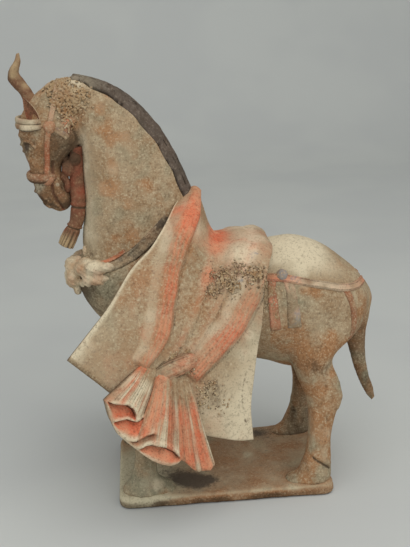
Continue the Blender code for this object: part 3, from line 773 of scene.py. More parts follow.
def crustPiece(place, flank, tree):
    shape, side, name = crustShape, flanks[flank], sidedName(flank, place) + "Crust"
    coarser, share = shape["coarser"].get(place, 1), shape["share"][flank]
    rng = np.random.default_rng(len(name) * 17 + (side > 0))
    piece, ball = ballPart(2)
    faces = np.array([face.vertices[:] for face in piece.data.polygons])
    points, corners = [], []
    for x, out, z, spread, count in shape["patches"][place]:
        for _ in range(int(count * share)):
            away = rng.normal(0, 0.5, 3) * spread
            spot, way, _, _ = tree.find_nearest(Vector((x + away[0], side * (out + away[1]), z + away[2])))
            size = rng.uniform(*shape["grain"]) * rng.uniform(0.75, 1.25, 3) * coarser
            corners.append(faces + len(points) * len(ball))
            points.append(np.array(spot) + np.array(way) * rng.uniform(-0.2, 0.7) + ball * size)
    mesh = bpy.data.meshes.new(name)
    mesh.from_pydata((np.concatenate(points) * mm).tolist(), [], np.concatenate(corners).tolist())
    piece.data = mesh
    piece.name = name
    applyModifier(piece, "REMESH", mode="VOXEL", voxel_size=shape["voxel"] * mm)
    p = roughened(piece, (0.18, 1.6, 5))
    hollow = sunk(piece, 14)
    spots, ways = dropped(tree, p)
    # painted shade at the grains' feet and in the hollows between them
    low = 1 - step(0.1, 0.9, ((p - spots) * ways).sum(1))
    finishPiece(piece, crustClay, {
        "dirtAndShade": 0.9 * low + 0.75 * step(-0.02, 0.24, hollow),
        "pale": 0.08 + 0.32 * step(0.05, 0.4, -hollow) + 0.25 * cloudy(p, 4, 3),
        "warm": 0.35 + 0.3 * cloudy(p, 6, 2),
    })


clothShape = {
    "columns": 104,
    "rows": 310,
    "thickness": 4.5,
    "about": (96, 200),  # width and drop in mm, for the marks that follow the edges
    "top": [
        (-23, 0, 249), (-17, 0, 251), (-10, 0, 245), (-4, 0, 224), (2, 0, 215),
        (12, 0, 214.5), (22, 0, 215.5), (33, 0, 211.5), (43, 0, 204.5),
    ],
    "front": {
        "left": [
            (-23, 0, 249), (-31, 16, 243), (-40, 32, 231), (-52, 45, 217),
            (-68, 58, 204), (-85, 70, 181), (-101, 80, 164), (-118, 88, 146),
        ],
        "right": [
            (-23, 0, 249), (-31, 16, 243), (-39, 32, 231), (-48, 45, 216),
            (-60, 57, 202), (-73, 68, 184), (-85, 77, 168), (-96, 85, 152),
        ],
    },
    # fine creases, drawn as lines of painted shade, as (x, z) seen from the flank
    "creases": [
        [(-2, 207), (-6, 196), (-12, 180), (-19, 163), (-28, 147)],
        [(-20, 200), (-25, 180), (-31, 160), (-36, 146)],
        [(-60, 190), (-66, 165), (-68, 140)], [(2, 176), (-4, 165), (-14, 152)],
        [(16, 120), (12, 100), (14, 80)],
    ],
    "rear": [
        (43, 0, 205), (42, 32, 204), (38, 46, 197), (34, 53, 184), (31, 60, 158),
        (26, 65, 136), (22, 69, 113), (19, 72, 89), (20, 74, 64),
    ],
    "hem": {
        "left": [
            (-118, 88, 146), (-96, 88, 125), (-75, 87, 104), (-54, 85, 89),
            (-34, 82, 79), (-16, 80, 73), (6, 77, 66), (20, 74, 64),
        ],
        "right": [
            (-96, 85, 152), (-82, 86, 126), (-66, 86, 104), (-49, 85, 89),
            (-32, 82, 79), (-14, 80, 72), (6, 77, 66), (20, 74, 64),
        ],
    },
    # (x, out y, z, radius, strength)
    "patches": {
        "paint": [
            (1, 20, 212, 12, 0.5), (-1, 28, 205, 9, 0.42), (4, 10, 214, 9, 0.35), (22, 22, 215, 18, 0.12),
            (-12, 0, 246, 9, 0.175), (2, 0, 214, 10, 0.2), (20, 0, 218, 14, 0.05), (-14, 18, 240, 9, 0.35),
            (-8, 34, 222, 8, 0.3), (-2, 44, 196, 9, 0.22), (-10, 50, 190, 8, 0.16), (-24, 24, 237, 9, 0.3),
            (-30, 33, 226, 8, 0.26),
        ],
        "pale": [
            (14, 74, 85, 30, 0.25), (24, 40, 204, 14, 0.4), (10, 36, 208, 14, 0.4), (22, 14, 217, 16, 0.4),
            (36, 20, 212, 12, 0.4), (-16, 30, 226, 12, 0.3),
        ],
        "blue": [(28, 42, 206, 6.5, 0.5), (14, 51, 187, 6, 0.5), (20, 47, 190, 6, 0.25)],
        "crust": [
            (2, 49, 188, 10, 0.32), (31, 52, 188, 10, 0.32), (-18, 77, 104, 10, 0.3), (-33, 76, 134, 8, 0.3)
        ],
    },
}
bandShape = {
    # guides from the ridge down, half width at the top and further down, height; the painted bands
    # also have where the paint is strong (share, width), how weak it is elsewhere and from where
    "front band": {
        "guides": [
            (-13, 0, 252), (-15, 10, 247), (-19, 24, 238), (-26, 36, 228), (-32, 45, 216), (-38, 53, 203),
            (-42, 60, 188), (-45, 66, 174), (-48, 70, 160), (-54, 75, 147), (-62, 79, 138),
        ],
        "half": (6.5, 10.0), "height": 4.6, "gathered": 0,
        "strong": [(0.22, 0.14), (0.75, 0.2)], "weak": (0.32, -2, -1), "painted to": 1.25,
    },
    "rear band": {
        "guides": [
            (37, 0, 208), (37, 20, 207), (33, 43, 200), (26, 54, 186), (18, 60, 172),
            (7, 65, 156), (-4, 68, 145), (-15, 72, 134), (-24, 75, 124),
        ],
        "half": (8.0, 10.6), "height": 4.2, "gathered": 0.45,
        "strong": [(0.72, 0.2)], "weak": (0.3, 0.2, 0.5), "painted to": 1.35,
    },
    "first fold": {
        "guides": [
            (-4, 16, 216), (-7, 38, 203), (-14, 54, 184), (-23, 62, 164), (-34, 70, 147), (-43, 75, 135)
        ],
        "half": (4.0, 5.5), "height": 2.2,
    },
    "second fold": {
        "guides": [
            (14, 20, 214), (12, 38, 207), (3, 54, 187), (-10, 64, 164), (-24, 70, 144), (-36, 75, 132)
        ],
        "half": (4.0, 6.0), "height": 2.4,
    },
}


def clothFlank(flank, across, down):
    # the cloth's face on one flank, spanned between its four edge curves
    shape, side = clothShape, flanks[flank]
    u, v = across[None, :, None], down[:, None, None]
    top, hem = curveOf(shape["top"], across)[None], curveOf(shape["hem"][flank], across)[None]
    front, rear = curveOf(shape["front"][flank], down)[:, None], curveOf(shape["rear"], down)[:, None]
    ends = [np.array(edge[at], float) for edge in (shape["top"], shape["hem"][flank]) for at in (0, -1)]
    corners = (1 - v) * ((1 - u) * ends[0] + u * ends[1]) + v * ((1 - u) * ends[2] + u * ends[3])
    found = (1 - v) * top + v * hem + (1 - u) * front + u * rear - corners
    return found * np.array([1, side, 1])


def bandPlace(points, ways, side, band):
    # the distance from the band's middle line (+ towards the front), share along it and way past its end
    stations, batch = 160, 4000
    line = curveOf(outward(band["guides"], side), np.linspace(0, 1, stations))
    ahead = unit(np.gradient(line, axis=0))
    nearest = np.empty(len(points), int)
    for start in range(0, len(points), batch):
        part = points[start:start + batch]
        nearest[start:start + batch] = ((part[:, None] - line[None]) ** 2).sum(2).argmin(1)
    away = points - line[nearest]
    forward = unit(np.cross(ahead[nearest], ways)) * -side
    return (away * forward).sum(1), nearest / (stations - 1), np.abs((away * ahead[nearest]).sum(1))


def layBand(band, points, ways, side, laid):
    # raises one band out of one flank's cloth, with its paint, pale clay and painted shade along its edge
    d, share, past = bandPlace(points, ways, side, band)
    broad = "strong" in band
    top, low = band["half"]
    wide = top + (low - top) * step(0, 0.35, share)
    wide = wide * (1 - 0.3 * step(0.8, 1, share))
    d = d + cloudy(points, 22, 5) * 0.7
    # a soft shoulder towards the front and a steep edge towards the rear
    front = 1 - step(0.1 * wide, (1.35 if broad else 1.5) * wide, d)
    rear = step(-1.02 * wide, (-0.62 if broad else -0.5) * wide, d)
    crown = 1 - 0.14 * np.clip(np.abs(d / wide), 0, 1) ** 2
    ends = 1 - step(2, 6, past) if broad else (1 - step(0.5, 4, past)) * step(0, 0.3, share)
    rise = band["height"] * front * rear * crown * ends
    # painted shade in the groove under the steep rear edge
    groove = bump(d + 1.05 * wide, 0.9) * ends * (1 if broad else 0.6) * (0.7 + 0.4 * cloudy(points, 12, 8))
    laid["height"] = np.maximum(laid["height"], rise) - 0.7 * groove * (laid["height"] < 1)
    laid["dirtAndShade"] = np.maximum(laid["dirtAndShade"], groove * (0.8 if broad else 0.6))
    if not broad:
        laid["paint"] = np.maximum(laid["paint"], 0.22 * bump(d / wide, 0.7) * ends)
        return
    # paint over the band's middle, bare clay on its shoulder
    place = d / wide
    painted = step(-1.08, -0.7, place) * (1 - step(-0.1, band["painted to"], place)) * ends
    strong = sum(bump(share - at, width) for at, width in band["strong"])
    most, start, full = band["weak"]
    weak = most * step(start, full, share)
    streaks = 0.16 * np.sin(d * 1.9 + 3 * cloudy(points, 30, 4)) * step(0.1, 0.4, share)
    laid["paint"] = np.maximum(laid["paint"], painted * (weak + streaks + 0.2 * np.clip(strong, 0, 1)))
    laid["paint"] = np.maximum(laid["paint"], 0.2 * bump(place - 0.4, 1.5) * ends)
    shoulder = step(0.3, 0.8, place) * (1 - step(1.1, 1.5, place))
    laid["pale"] = np.maximum(laid["pale"], 0.26 * shoulder * ends)
    # drawn together into the knot, with painted shade in the troughs
    gather = band["gathered"] * step(0.62, 0.8, share) * rear * front
    wave = np.sin(d * 2.6 + 1.5 * np.sin(share * 9))
    laid["height"] = laid["height"] + gather * wave
    laid["dirtAndShade"] = np.maximum(laid["dirtAndShade"], gather * (wave < -0.35))


def saddleCloth():
    shape = clothShape
    columns, half = shape["columns"], shape["rows"] // 2
    across, down = np.linspace(0, 1, columns + 1), np.linspace(0, 1, half + 1)
    base = np.concatenate([clothFlank("right", across, down)[::-1][:-1], clothFlank("left", across, down)])
    ways = unit(np.cross(np.gradient(base, axis=1), np.gradient(base, axis=0)))
    if ways[half + 40, 50, 1] > 0:  # the left flank's way out is towards -Y
        ways = -ways
    points, way = base.reshape(-1, 3), ways.reshape(-1, 3)
    sideOf = np.where(np.arange(len(base)) < half, 1, -1).repeat(base.shape[1])
    laid = {key: np.zeros(len(points)) for key in ("height", "paint", "dirtAndShade", "pale")}
    for band in bandShape.values():
        for side in flanks.values():
            here = np.flatnonzero(sideOf == side)
            part = {key: values[here] for key, values in laid.items()}
            layBand(band, points[here], way[here], side, part)
            for key, values in part.items():
                laid[key][here] = values
    laid["height"] += 0.5 * cloudy(points, 26, 1) + 0.16 * cloudy(points, 6, 2)
    outer = (points + way * laid["height"][:, None]).reshape(base.shape)
    piece, row, column, under = sheetPiece("saddleCloth", outer, base - ways * shape["thickness"])
    index = row * base.shape[1] + column
    paint, dirtAndShade, pale = (laid[key][index] for key in ("paint", "dirtAndShade", "pale"))
    p, ground = readPoints(piece), treeOf(piece)
    width, drop = shape["about"]
    down, u = np.abs(row / half - 1), column / columns
    front, rear, hem = column * width / columns, (columns - column) * width / columns, (1 - down) * drop
    edge = np.minimum(np.minimum(front, rear), hem)
    spots = {name: patches(p, rows) for name, rows in shape["patches"].items()}
    paint = paint * (0.75 + 0.35 * step(-0.6, 0.6, cloudy(p, 22, 9))) + spots["paint"]
    paint += 0.16 * step(0.0, 0.8, cloudy(p * np.array([1, 1, 0.5]), 13, 12))
    pale += 0.08 + 0.2 * step(0.1, 0.8, cloudy(p, 15, 31)) + spots["pale"]
    # a painted highlight along the flap's front edge
    pale += 0.8 * bump(front, 1.6) * (hem > 4) + 0.22 * step(0.55, 1, down)
    pale += 0.35 * step(0.7, 0.95, u) * step(0.35, 0.6, down)
    # the fine creases as lines of painted shade
    creases = stroked(p, bothStrokes(ground, [(line, 0.8, 1) for line in shape["creases"]]))
    # painted shade along the low front hem, where the flap faces down
    lowFront = step(6, 0, hem) * (u < 0.45)
    grains = [grain for place in crustShape["on the cloth"] for grain in crustShape["patches"][place]]
    crusts = patches(p, [(x, out, z, spread * 1.05, 0.62) for x, out, z, spread, _ in grains])
    dirtAndShade += 0.22 * bump(edge - 6, 3) * (cloudy(p, 10, 4) > 0) + 0.6 * lowFront
    dirtAndShade += np.clip(crusts, 0, 0.55) * step(-0.5, 0.4, cloudy(p, 4, 9))
    finishPiece(piece, clay, {
        "paint": np.where(under, 0, paint),
        "dirtAndShade": np.where(under, 0.5, dirtAndShade * 0.9 + 0.6 * creases),
        "pale": np.where(under, 0, pale * (1 - lowFront)),
        "warm": 0.24 + 0.35 * cloudy(p, 24, 3) + 0.2 * (u < 0.3),
        "green": 0.5 * step(0, 0.6, cloudy(p, 22, 6)) + 0.4 * lowFront,
        "blue": spots["blue"],
        "crust": spots["crust"],
    })
    return piece


cloth = saddleCloth()
print("the saddle cloth is laid")


fanShape = {
    "columns": {"left": 270, "right": 200},
    "rows": {"left": (22, 88), "right": (18, 70)},
    "left edge": [(-61, 76, 137), (-74, 86, 130), (-93, 97, 117)],
    "right edge": [(-31, 73, 128), (-25, 81, 106), (-19, 87, 80), (-12, 91, 53)],
    "hem": [
        (-93, 97, 117), (-90, 99, 98), (-79, 101, 82), (-64, 101, 68),
        (-46, 99, 55), (-29, 96, 47), (-12, 91, 53),
    ],
    # the cloth's rise across the fan, as (share, mm): a lobe, a fold, then ribs
    "rise": [
        (0, 3.5), (0.04, 6.5), (0.13, 8.6), (0.27, 8.2), (0.34, 5.8), (0.368, 1.2), (0.40, 4.6), (0.47, 8.0),
        (0.56, 8.6), (0.595, 8.0), (0.608, 2.4), (0.64, 3.0), (0.685, 7.0), (0.72, 5.2), (0.772, 0.6),
        (0.81, 2.6), (0.835, 3.2), (0.86, 5.4), (0.885, 3.8), (0.905, 3.8), (0.95, 6.6), (0.985, 5.2),
        (1, 2.2),
    ],
    # where the hem ends across the fan, as (share, drop)
    "end": [
        (0, 1), (0.09, 0.985), (0.165, 0.97), (0.25, 0.99), (0.375, 0.975), (0.52, 0.983), (0.58, 0.973),
        (0.645, 0.948), (0.693, 0.907), (0.732, 0.855), (0.765, 0.866), (0.80, 0.893), (0.84, 0.932),
        (0.887, 0.958), (0.95, 0.985), (1, 0.965),
    ],
    # each lip as (share, drop), from the top down; below it the cloth turns back under
    "lips": [
        [
            (0, 0.985), (0.02, 0.955), (0.068, 0.87), (0.125, 0.77), (0.18, 0.70), (0.25, 0.67), (0.29, 0.69),
            (0.318, 0.745)
        ],
        [(0.165, 0.965), (0.2, 0.89), (0.247, 0.80), (0.32, 0.75), (0.358, 0.71), (0.385, 0.655)],
        [
            (0.24, 0.99), (0.302, 0.97), (0.358, 0.93), (0.393, 0.89), (0.443, 0.79), (0.48, 0.745),
            (0.53, 0.72)
        ],
        [
            (0.375, 0.985), (0.428, 0.935), (0.455, 0.888), (0.49, 0.85), (0.532, 0.828), (0.588, 0.802),
            (0.667, 0.805), (0.70, 0.83), (0.732, 0.856)
        ],
    ],
    # bare clay and paint across the fan, as (share, strength)
    "cream": [
        (0, 0.5), (0.1, 0.7), (0.2, 0.9), (0.36, 0.85), (0.4, 0.1), (0.48, 0.35), (0.59, 0.75), (0.606, 0.0),
        (0.645, 0.15), (0.675, 0.8), (0.7, 0.8), (0.73, 0.1), (0.835, 0.1), (0.85, 0.7), (0.88, 0.7),
        (0.905, 0.1), (0.965, 0.15), (0.985, 0.75), (1, 0.8)
    ],
    "red": [
        (0, 0.5), (0.12, 0.4), (0.16, 0.12), (0.36, 0.12), (0.375, 0.56), (0.46, 0.6), (0.55, 0.35),
        (0.6, 0.3), (0.61, 0.7), (0.65, 0.6), (0.675, 0.2), (0.7, 0.2), (0.73, 0.62), (0.835, 0.6),
        (0.85, 0.22), (0.88, 0.22), (0.9, 0.58), (0.96, 0.6), (0.985, 0.2)
    ],
    "hollow": 0.6, "rim": 5.6, "back": 2.2, "striations": 42, "striation depth": 0.42,
}


def fanGround(share, drop):
    # the surface that the pleats stand on: share from the left edge to the right, drop from knot to hem
    shape = fanShape
    left, right = np.array(shape["left edge"][-1], float), np.array(shape["right edge"][-1], float)
    a, b = curveOf(shape["left edge"], drop), curveOf(shape["right edge"], drop)
    corner = left + (right - left) * share[..., None]
    return a + (b - a) * share[..., None] + (curveOf(shape["hem"], share) - corner) * drop[..., None]


def fanOut(share, drop):
    along = fanGround(np.minimum(share + 0.05, 1), drop) - fanGround(np.minimum(share, 0.95), drop)
    away = fanGround(share, np.minimum(drop + 0.1, 1)) - fanGround(share, np.minimum(drop, 0.9))
    return unit(np.cross(along, away))


def scarfFan(flank):
    shape, side = fanShape, flanks[flank]
    above, below = shape["rows"][flank]
    drops = np.concatenate([np.linspace(0, 0.62, above), np.linspace(0.62, 1, below + 1)[1:]])
    share, part = np.meshgrid(np.linspace(0, 1, shape["columns"][flank] + 1), drops)
    end = np.interp(share, *np.transpose(shape["end"]))
    drop = part * end
    flat3 = np.stack([share * 90, drop * 70, 0 * drop], -1).reshape(-1, 3)
    wave = (cloudy(flat3, 16, 3) * 0.006).reshape(share.shape)
    across = share + wave * step(0, 0.02, share) * step(0, 0.02, 1 - share)
    rise = np.interp(across, *np.transpose(shape["rise"])) * (0.22 + 0.78 * step(0.0, 0.62, drop) ** 0.8)
    # striations, drawn along the pleats
    phase = 2 * np.pi * (shape["striations"] * share + 0.5 * np.sin(11 * share) + 0.35 * np.sin(47 * share))
    fine = (1 - np.abs(np.sin(phase / 2)) ** 0.7 * 1.5) * -1
    fine = fine * shape["striation depth"] * step(0.08, 0.35, drop)
    cream = np.interp(share, *np.transpose(shape["cream"]))
    red = np.interp(share, *np.transpose(shape["red"]))
    strands = np.stack([share * 130, drop * 9, 0 * drop], -1).reshape(-1, 3)
    streak = cloudy(strands, 3.4, 21).reshape(share.shape)
    cream, red = cream + 0.3 * streak, red - 0.3 * streak
    beige = step(0.45, 0.75, share) * (1 - step(0.22, 0.5, drop))
    cream = cream * step(0.15, 0.45, drop) * (1 - 0.6 * beige)
    red = np.where(share < 0.4, red * (1.3 - 0.7 * drop), red) * (1 - 0.85 * beige)
    # painted shade in the crevices between the pleats and in the striations' grooves
    dirtAndShade = (
        0.6 * bump(share - 0.369, 0.008) * step(0.1, 0.3, drop)
        + 0.8 * bump(share - 0.6035, 0.005) * step(0.3, 0.4, drop)
    )
    dirtAndShade += (
        0.5 * bump(share - 0.772, 0.012) * step(0.4, 0.6, drop) + 0.5 * (fine < -0.1) * step(0.2, 0.5, cream)
    )
    lift = rise + fine * (0.5 + 0.5 * cream)
    for number, lip in enumerate(shape["lips"]):
        place, reach = np.transpose(lip)
        inside = (share >= place[0]) & (share <= place[-1])
        at = np.interp(across, place, reach)
        following = end.copy()
        for lower in shape["lips"][number + 1:]:
            there, depth = np.transpose(lower)
            found = np.interp(across, there, depth)
            within = (share >= there[0]) & (share <= there[-1]) & (found > at + 0.01)
            following = np.where(within, np.minimum(following, found), following)
        past = drop - at
        t = np.clip(past / np.maximum(following - at, 0.02), 0, 1)
        gap = step(0.015, 0.07, following - at)
        fade = gap * inside * (1 - step(0.47, 0.53, share) if number == 2 else 1)
        under = step(0.0, 0.011, past) * fade
        hollow = shape["hollow"] + (shape["rim"] - shape["hollow"]) * step(0.05, 1.0, t) ** 0.8 + 0.5 * fine
        lip = fade * bump(past + 0.024, 0.024)
        lift = lift + 1.2 * lip
        lift = lift + (hollow - lift) * under
        red = red * (1 - under) + under * (0.9 - 0.7 * step(0.5, 0.95, t)) * (0.45 if number == 2 else 1)
        cream = cream * (1 - under) + under * step(0.4, 0.95, t) * 0.75 + 0.6 * lip * (past < 0)
        # painted shadow just under each lip
        dirtAndShade = dirtAndShade * (1 - 0.7 * lip) * (1 - under) + 0.85 * fade * bump(past - 0.012, 0.010)
    # the hem and the sides are rounded
    lift = lift - 1.2 * step(0.975, 1, part) - 1.5 * step(0.99, 1, np.abs(share * 2 - 1))
    lift = lift - 5.5 * (1 - step(0, 0.14, drop))  # the pleats rise out of the knot
    out = fanOut(share, drop)
    flip = np.array([1, side, 1])
    ground = fanGround(share, drop)
    piece, row, column, under = sheetPiece(
        f"{flank}FanPleats", (ground + out * lift[..., None]) * flip, (ground - out * shape["back"]) * flip
    )
    p = roughened(piece, (0.12, 3, 5))
    here = row, column
    finishPiece(piece, clay, {
        "paint": np.where(under, 0.15, red[here] + 0.15 * cloudy(p, 8, 3)),
        "pale": np.where(under, 0.1, cream[here] * (0.8 + 0.3 * cloudy(p, 9, 7))),
        "dirtAndShade": np.where(under, 0.5, dirtAndShade[here]),
        "warm": 0.3,
        "green": 0.5 * step(0.9, 1, part[here]) * (share[here] < 0.6),
    })


knotShape = {
    "centre": (-40, 75.4, 130), "along": (0.86, -0.1, 0.3), "out": (0, 0.95, 0.3), "half": (19, 5, 7.5),
    "finer": (60, 72)
}


def scarfKnot(flank):
    # a gathered lump, creased lengthwise by the cloth drawn through it
    shape, flip = knotShape, np.array([1, flanks[flank], 1])
    (long, deep, tall), (stations, around) = shape["half"], shape["finer"]
    centre, along, out = (np.array(shape[key], float) for key in ("centre", "along", "out"))
    along, out = unit(along), unit(out)
    across = unit(np.cross(out, along))
    tilt, turn = np.meshgrid(np.linspace(0.06, np.pi - 0.06, stations), turns(around), indexing="ij")
    pleats = 1 + 0.05 * np.sin(9 * turn + 1.2 * np.cos(2 * tilt))
    pleats = pleats + 0.03 * np.sin(19 * turn + np.cos(3 * tilt))
    reach = np.sin(tilt) ** 0.8 * pleats
    rings = centre + along * (long * np.cos(tilt))[..., None]
    rings = rings + across * (tall * reach * np.cos(turn))[..., None]
    rings = rings + out * (deep * reach * np.sin(turn))[..., None]
    piece, _, place = loftPiece(f"{flank}Knot", rings * flip)
    roughened(piece, (0.5, 6, 8), (0.2, 2.5, 9))
    p = readPoints(piece)
    # painted shade in the creases and under the knot; paint and dirt towards the back
    behind = step(-44, -32, p[:, 0])
    groove = np.sin(19 * turns(around)[place]) < -0.3
    below = step(-0.2, -0.9, ((p - centre * flip) @ (across * flip)) / tall)
    finishPiece(piece, clay, {
        "paint": 0.16 + 0.2 * cloudy(p, 7, 2) + 0.3 * behind,
        "warm": 0.3,
        "pale": 0.25 * (1 - behind),
        "green": 0.3 * (1 - behind),
        "dirtAndShade": 0.3 * groove + 0.45 * behind * step(0.1, 0.7, cloudy(p, 3, 4)) + 0.5 * below,
    })


for flank in flanks:
    scarfFan(flank)
for flank in flanks:
    scarfKnot(flank)
print("the scarf's knots and fans are made")


strapShape = {
    "bed": 1.4,
    "cast from the flank": ("breastStrap", "breastCord"),
    # guides, width at the start, width gained by the end, height, painted shade along the edge lines, marks
    "straps": {
        "breastStrap": ([
            (-114, 0, 199), (-106, 14, 199), (-95, 25, 198), (-84, 29, 199), (-74, 30, 202), (-60, 29, 211),
            (-47, 27, 222), (-36, 24, 232),
        ], 5, 6, 1.9, 1, {"dark": (0, 0, 0.42, 0.5), "green": 0.5, "pale": (0.4, 0.2, 0.1, 0)}),
        "breastCord": ([
            (-102, 16, 200), (-96, 22, 200.5), (-90, 26, 201.5), (-84, 27, 203.5), (-78, 28, 206.5),
            (-72, 28, 210.5),
        ], 4.4, -1.6, 1.9, 1, {"paint": (0.25, 0.3, 0.2, 0.05), "warm": 0.7, "green": 0.1, "dirtAndShade": 0.1}),
        "crupperStrap": ([
            (36, 50, 194), (50, 50, 191), (66, 50, 186), (84, 48, 181), (100, 42, 176), (112, 30, 172),
            (119, 16, 171), (121, 8, 170),
        ], 6.5, 0, 1.9, 2.4, {"paint": (0.45, 0.1, 0.12, 0.45), "pale": (0.1, 0.55, 0.45, 0.1),
        "blue": (0.25, 0, 0.1, 0), "dirtAndShade": 0.1}),
        "breechStrap": (
            [(104, 40, 176), (108, 38, 160), (108, 36, 144), (104, 36, 130)], 6, 0, 0.9, 1, {"warm": 0.5}
        ),
        "frontPendant": (
            [(43, 50, 190), (43, 52, 176), (43, 52, 160), (44, 50, 142)], 6, 3, 0.9, 1,
            {"paint": 0.24, "warm": 0.35, "pale": 0.15, "dirtAndShade": 0.1}
        ),
        "rearPendant": (
            [(54, 50, 188), (56, 52, 175), (57, 52, 160), (58, 50, 144)], 8, 3, 0.9, 1,
            {"green": 0.6, "pale": 0.2, "paint": 0.08, "blue": (0, 0, 0.2, 0.4)}
        ),
        "cheekStrap": (
            [(-123, 24, 309), (-126, 24, 295), (-127, 20, 282), (-128, 18, 268)], 4.2, 0, 1.9, 1,
            {"paint": 0.3, "warm": 0.6, "dirtAndShade": 0.4}
        ),
        "throatStrap": (
            [(-121, 26, 309), (-113, 26, 303), (-107, 25, 298)], 4.5, 0, 0.9, 1,
            {"paint": 0.12, "blue": 0.3, "dirtAndShade": 0.35, "green": 0.4}
        ),
        "crownStrap": (
            [(-123, 24, 309), (-120, 24, 320), (-118, 22, 331), (-116, 12, 345), (-115, 0, 350)], 4, 0, 0.9,
            1, {"paint": 0.14, "pale": 0.25, "green": 0.35, "dirtAndShade": 0.1}
        ),
    },
}
bossShape = {
    # (x, out y, z, radius, height), marks
    "browBoss": ((-123, 18.5, 309, 4.8, 3.8), {"paint": 0.22, "warm": 0.5, "pale": 0.2}),
    "noseBoss": ((-128, 12, 267, 4.6, 3.6), {"paint": 0.22, "warm": 0.5, "pale": 0.2}),
    "crupperBoss": ((50, 44, 191, 4.8, 3.4), {"blue": 0.6, "dark": 0.35, "dirtAndShade": 0.2}),
}


def strapPiece(name, flank):
    shape, stations = strapShape, 60
    guides, width, swell, height, edgeLineShade, marks = shape["straps"][name]
    line = curveOf(outward(guides, flanks[flank]), np.linspace(0, 1, stations))
    if name in shape["cast from the flank"]:  # it passes from the neck to the shoulder
        aside = np.stack([np.minimum(line[:, 0] + 78, 0), line[:, 1], 0 * line[:, 0]], 1)
        line = evened(cast(horseTree, line, unit(aside)), 12)
    spots, ways = dropped(horseTree, line)
    spots, ways = evened(spots, 6), unit(evened(ways, 30))
    across = unit(np.cross(ways, unit(np.gradient(spots, axis=0))))
    wide = (width + swell * np.linspace(0, 1, stations)) / 2
    shares = np.linspace(-1, 1, 11)
    # rolled edges with a shallow trough between
    profile = 0.35 + 0.65 * (1 - shares**8) - 0.28 * bump(shares, 0.5)
    crown, foot = [], []
    for share, rise in zip(shares, profile):
        spot = evened(cast(horseTree, spots + across * (share * wide)[:, None], ways), 4)
        crown.append(spot + ways * height * rise)
        foot.append(spot - ways * shape["bed"])
    piece, ring, around = loftPiece(sidedName(flank, name), np.stack(crown + foot[::-2], 1))
    p = roughened(piece, (0.18, 4, 3))
    low, edge = around > 10, np.isin(around, (0, 1, 9, 10))
    mottle, place = 0.25 * cloudy(p, 8, 4), ring / stations
    painted = {}
    for key, value in marks.items():
        painted[key] = np.interp(place, [0, 0.4, 0.6, 1], np.broadcast_to(value, 4)) + mottle
    # painted shade at the strap's foot, along its edges and in the lines beside its rolled edges
    dirtAndShade = 0.75 * low + 0.35 * edge + 0.25 * edgeLineShade * np.isin(around, (2, 8))
    finishPiece(piece, harnessClay, {**painted, "dirtAndShade": dirtAndShade})


def bossPiece(name, flank):
    (x, out, z, radius, height), marks = bossShape[name]
    (centre,), (way,) = dropped(horseTree, [(x, flanks[flank] * out, z)])
    first = unit(np.cross(way, (0, 0, 1)))
    second = np.cross(way, first)
    tilt, turn = np.meshgrid(np.linspace(0.08, np.pi * 0.62, 16), turns(32), indexing="ij")
    reach = radius * np.sin(tilt) * (1 + 0.05 * np.sin(3 * turn + x))
    rings = centre + (first * np.cos(turn)[..., None] + second * np.sin(turn)[..., None]) * reach[..., None]
    piece, ring, _ = loftPiece(sidedName(flank, name), rings + way * (height * np.cos(tilt))[..., None])
    roughened(piece, (0.25, 4, 6))
    # painted shade round the boss's foot
    finishPiece(piece, harnessClay, {**marks, "dirtAndShade": step(11, 15, ring.astype(float)) * 0.8})


for flank in flanks:
    for name in strapShape["straps"]:
        strapPiece(name, flank)
    for name in bossShape:
        bossPiece(name, flank)
print("the straps and bosses are laid")


bandRoll = {
    # a roll round the head: (front x, front z, back x, back z, half width), thickness, pale, green, dirt
    "browBandUpper": ((-148.6, 313.6, -124, 312.6, 20), 2.3, 0.36, 0.6, 0),
    "browBandLower": ((-149.2, 309.2, -124, 308.6, 20.3), 2.5, 0.36, 0.6, 0),
    "noseBand": ((-143.6, 269, -122, 268, 13.4), 3.7, 0.1, 0, 0.3),
}


def headBand(name):
    (frontX, frontZ, backX, backZ, half), thick, pale, green, dirtAndShade = bandRoll[name]
    long, short = 96, 14  # segments round the head and round the roll
    turn, swirl = turns(long), turns(short)
    middleX = (frontX + backX) / 2 + (backX - frontX) / 2 * np.cos(turn)
    middleZ = (frontZ + backZ) / 2 + (backZ - frontZ) / 2 * np.cos(turn)
    middle = np.stack([middleX, half * np.sin(turn) * 0.97, middleZ], -1)
    out = unit(middle - middle.mean(0))
    rings = middle[:, None] + out[:, None] * (np.cos(swirl) * thick * 0.62)[None, :, None]
    rings = rings + np.array([0, 0, 1.0]) * (np.sin(swirl) * thick)[None, :, None]
    deselect()
    bpy.ops.mesh.primitive_torus_add(
        major_segments=long, minor_segments=short, major_radius=2, minor_radius=0.5
    )
    piece = added(name)
    flat = readPoints(piece) * mm
    around = np.rint(np.arctan2(flat[:, 1], flat[:, 0]) / (2 * np.pi) * long).astype(int) % long
    reach = np.linalg.norm(flat[:, :2], axis=1) - 2
    minor = np.rint(np.arctan2(flat[:, 2], reach) / (2 * np.pi) * short).astype(int) % short
    writePoints(piece, rings[around, minor])
    facedOut(piece)
    p = roughened(piece, (0.5, 6, 3))
    finishPiece(piece, harnessClay, {
        "pale": pale + 0.35 * cloudy(p, 9, 2),
        "paint": 0.04 + 0.25 * cloudy(p, 9, 5),
        "warm": 0.4,
        "green": green,
        # painted shade under the roll, and the band's own dirt
        "dirtAndShade": 0.8 * step(0.1, 0.9, -np.sin(swirl)[minor]) + dirtAndShade,
    })


earShape = {
    "root": (-133, 16, 311), "tip": (-140.5, 19, 332), "across": (0.86, 0.22, 0.4), "half": 4.9, "depth": 0.75
}


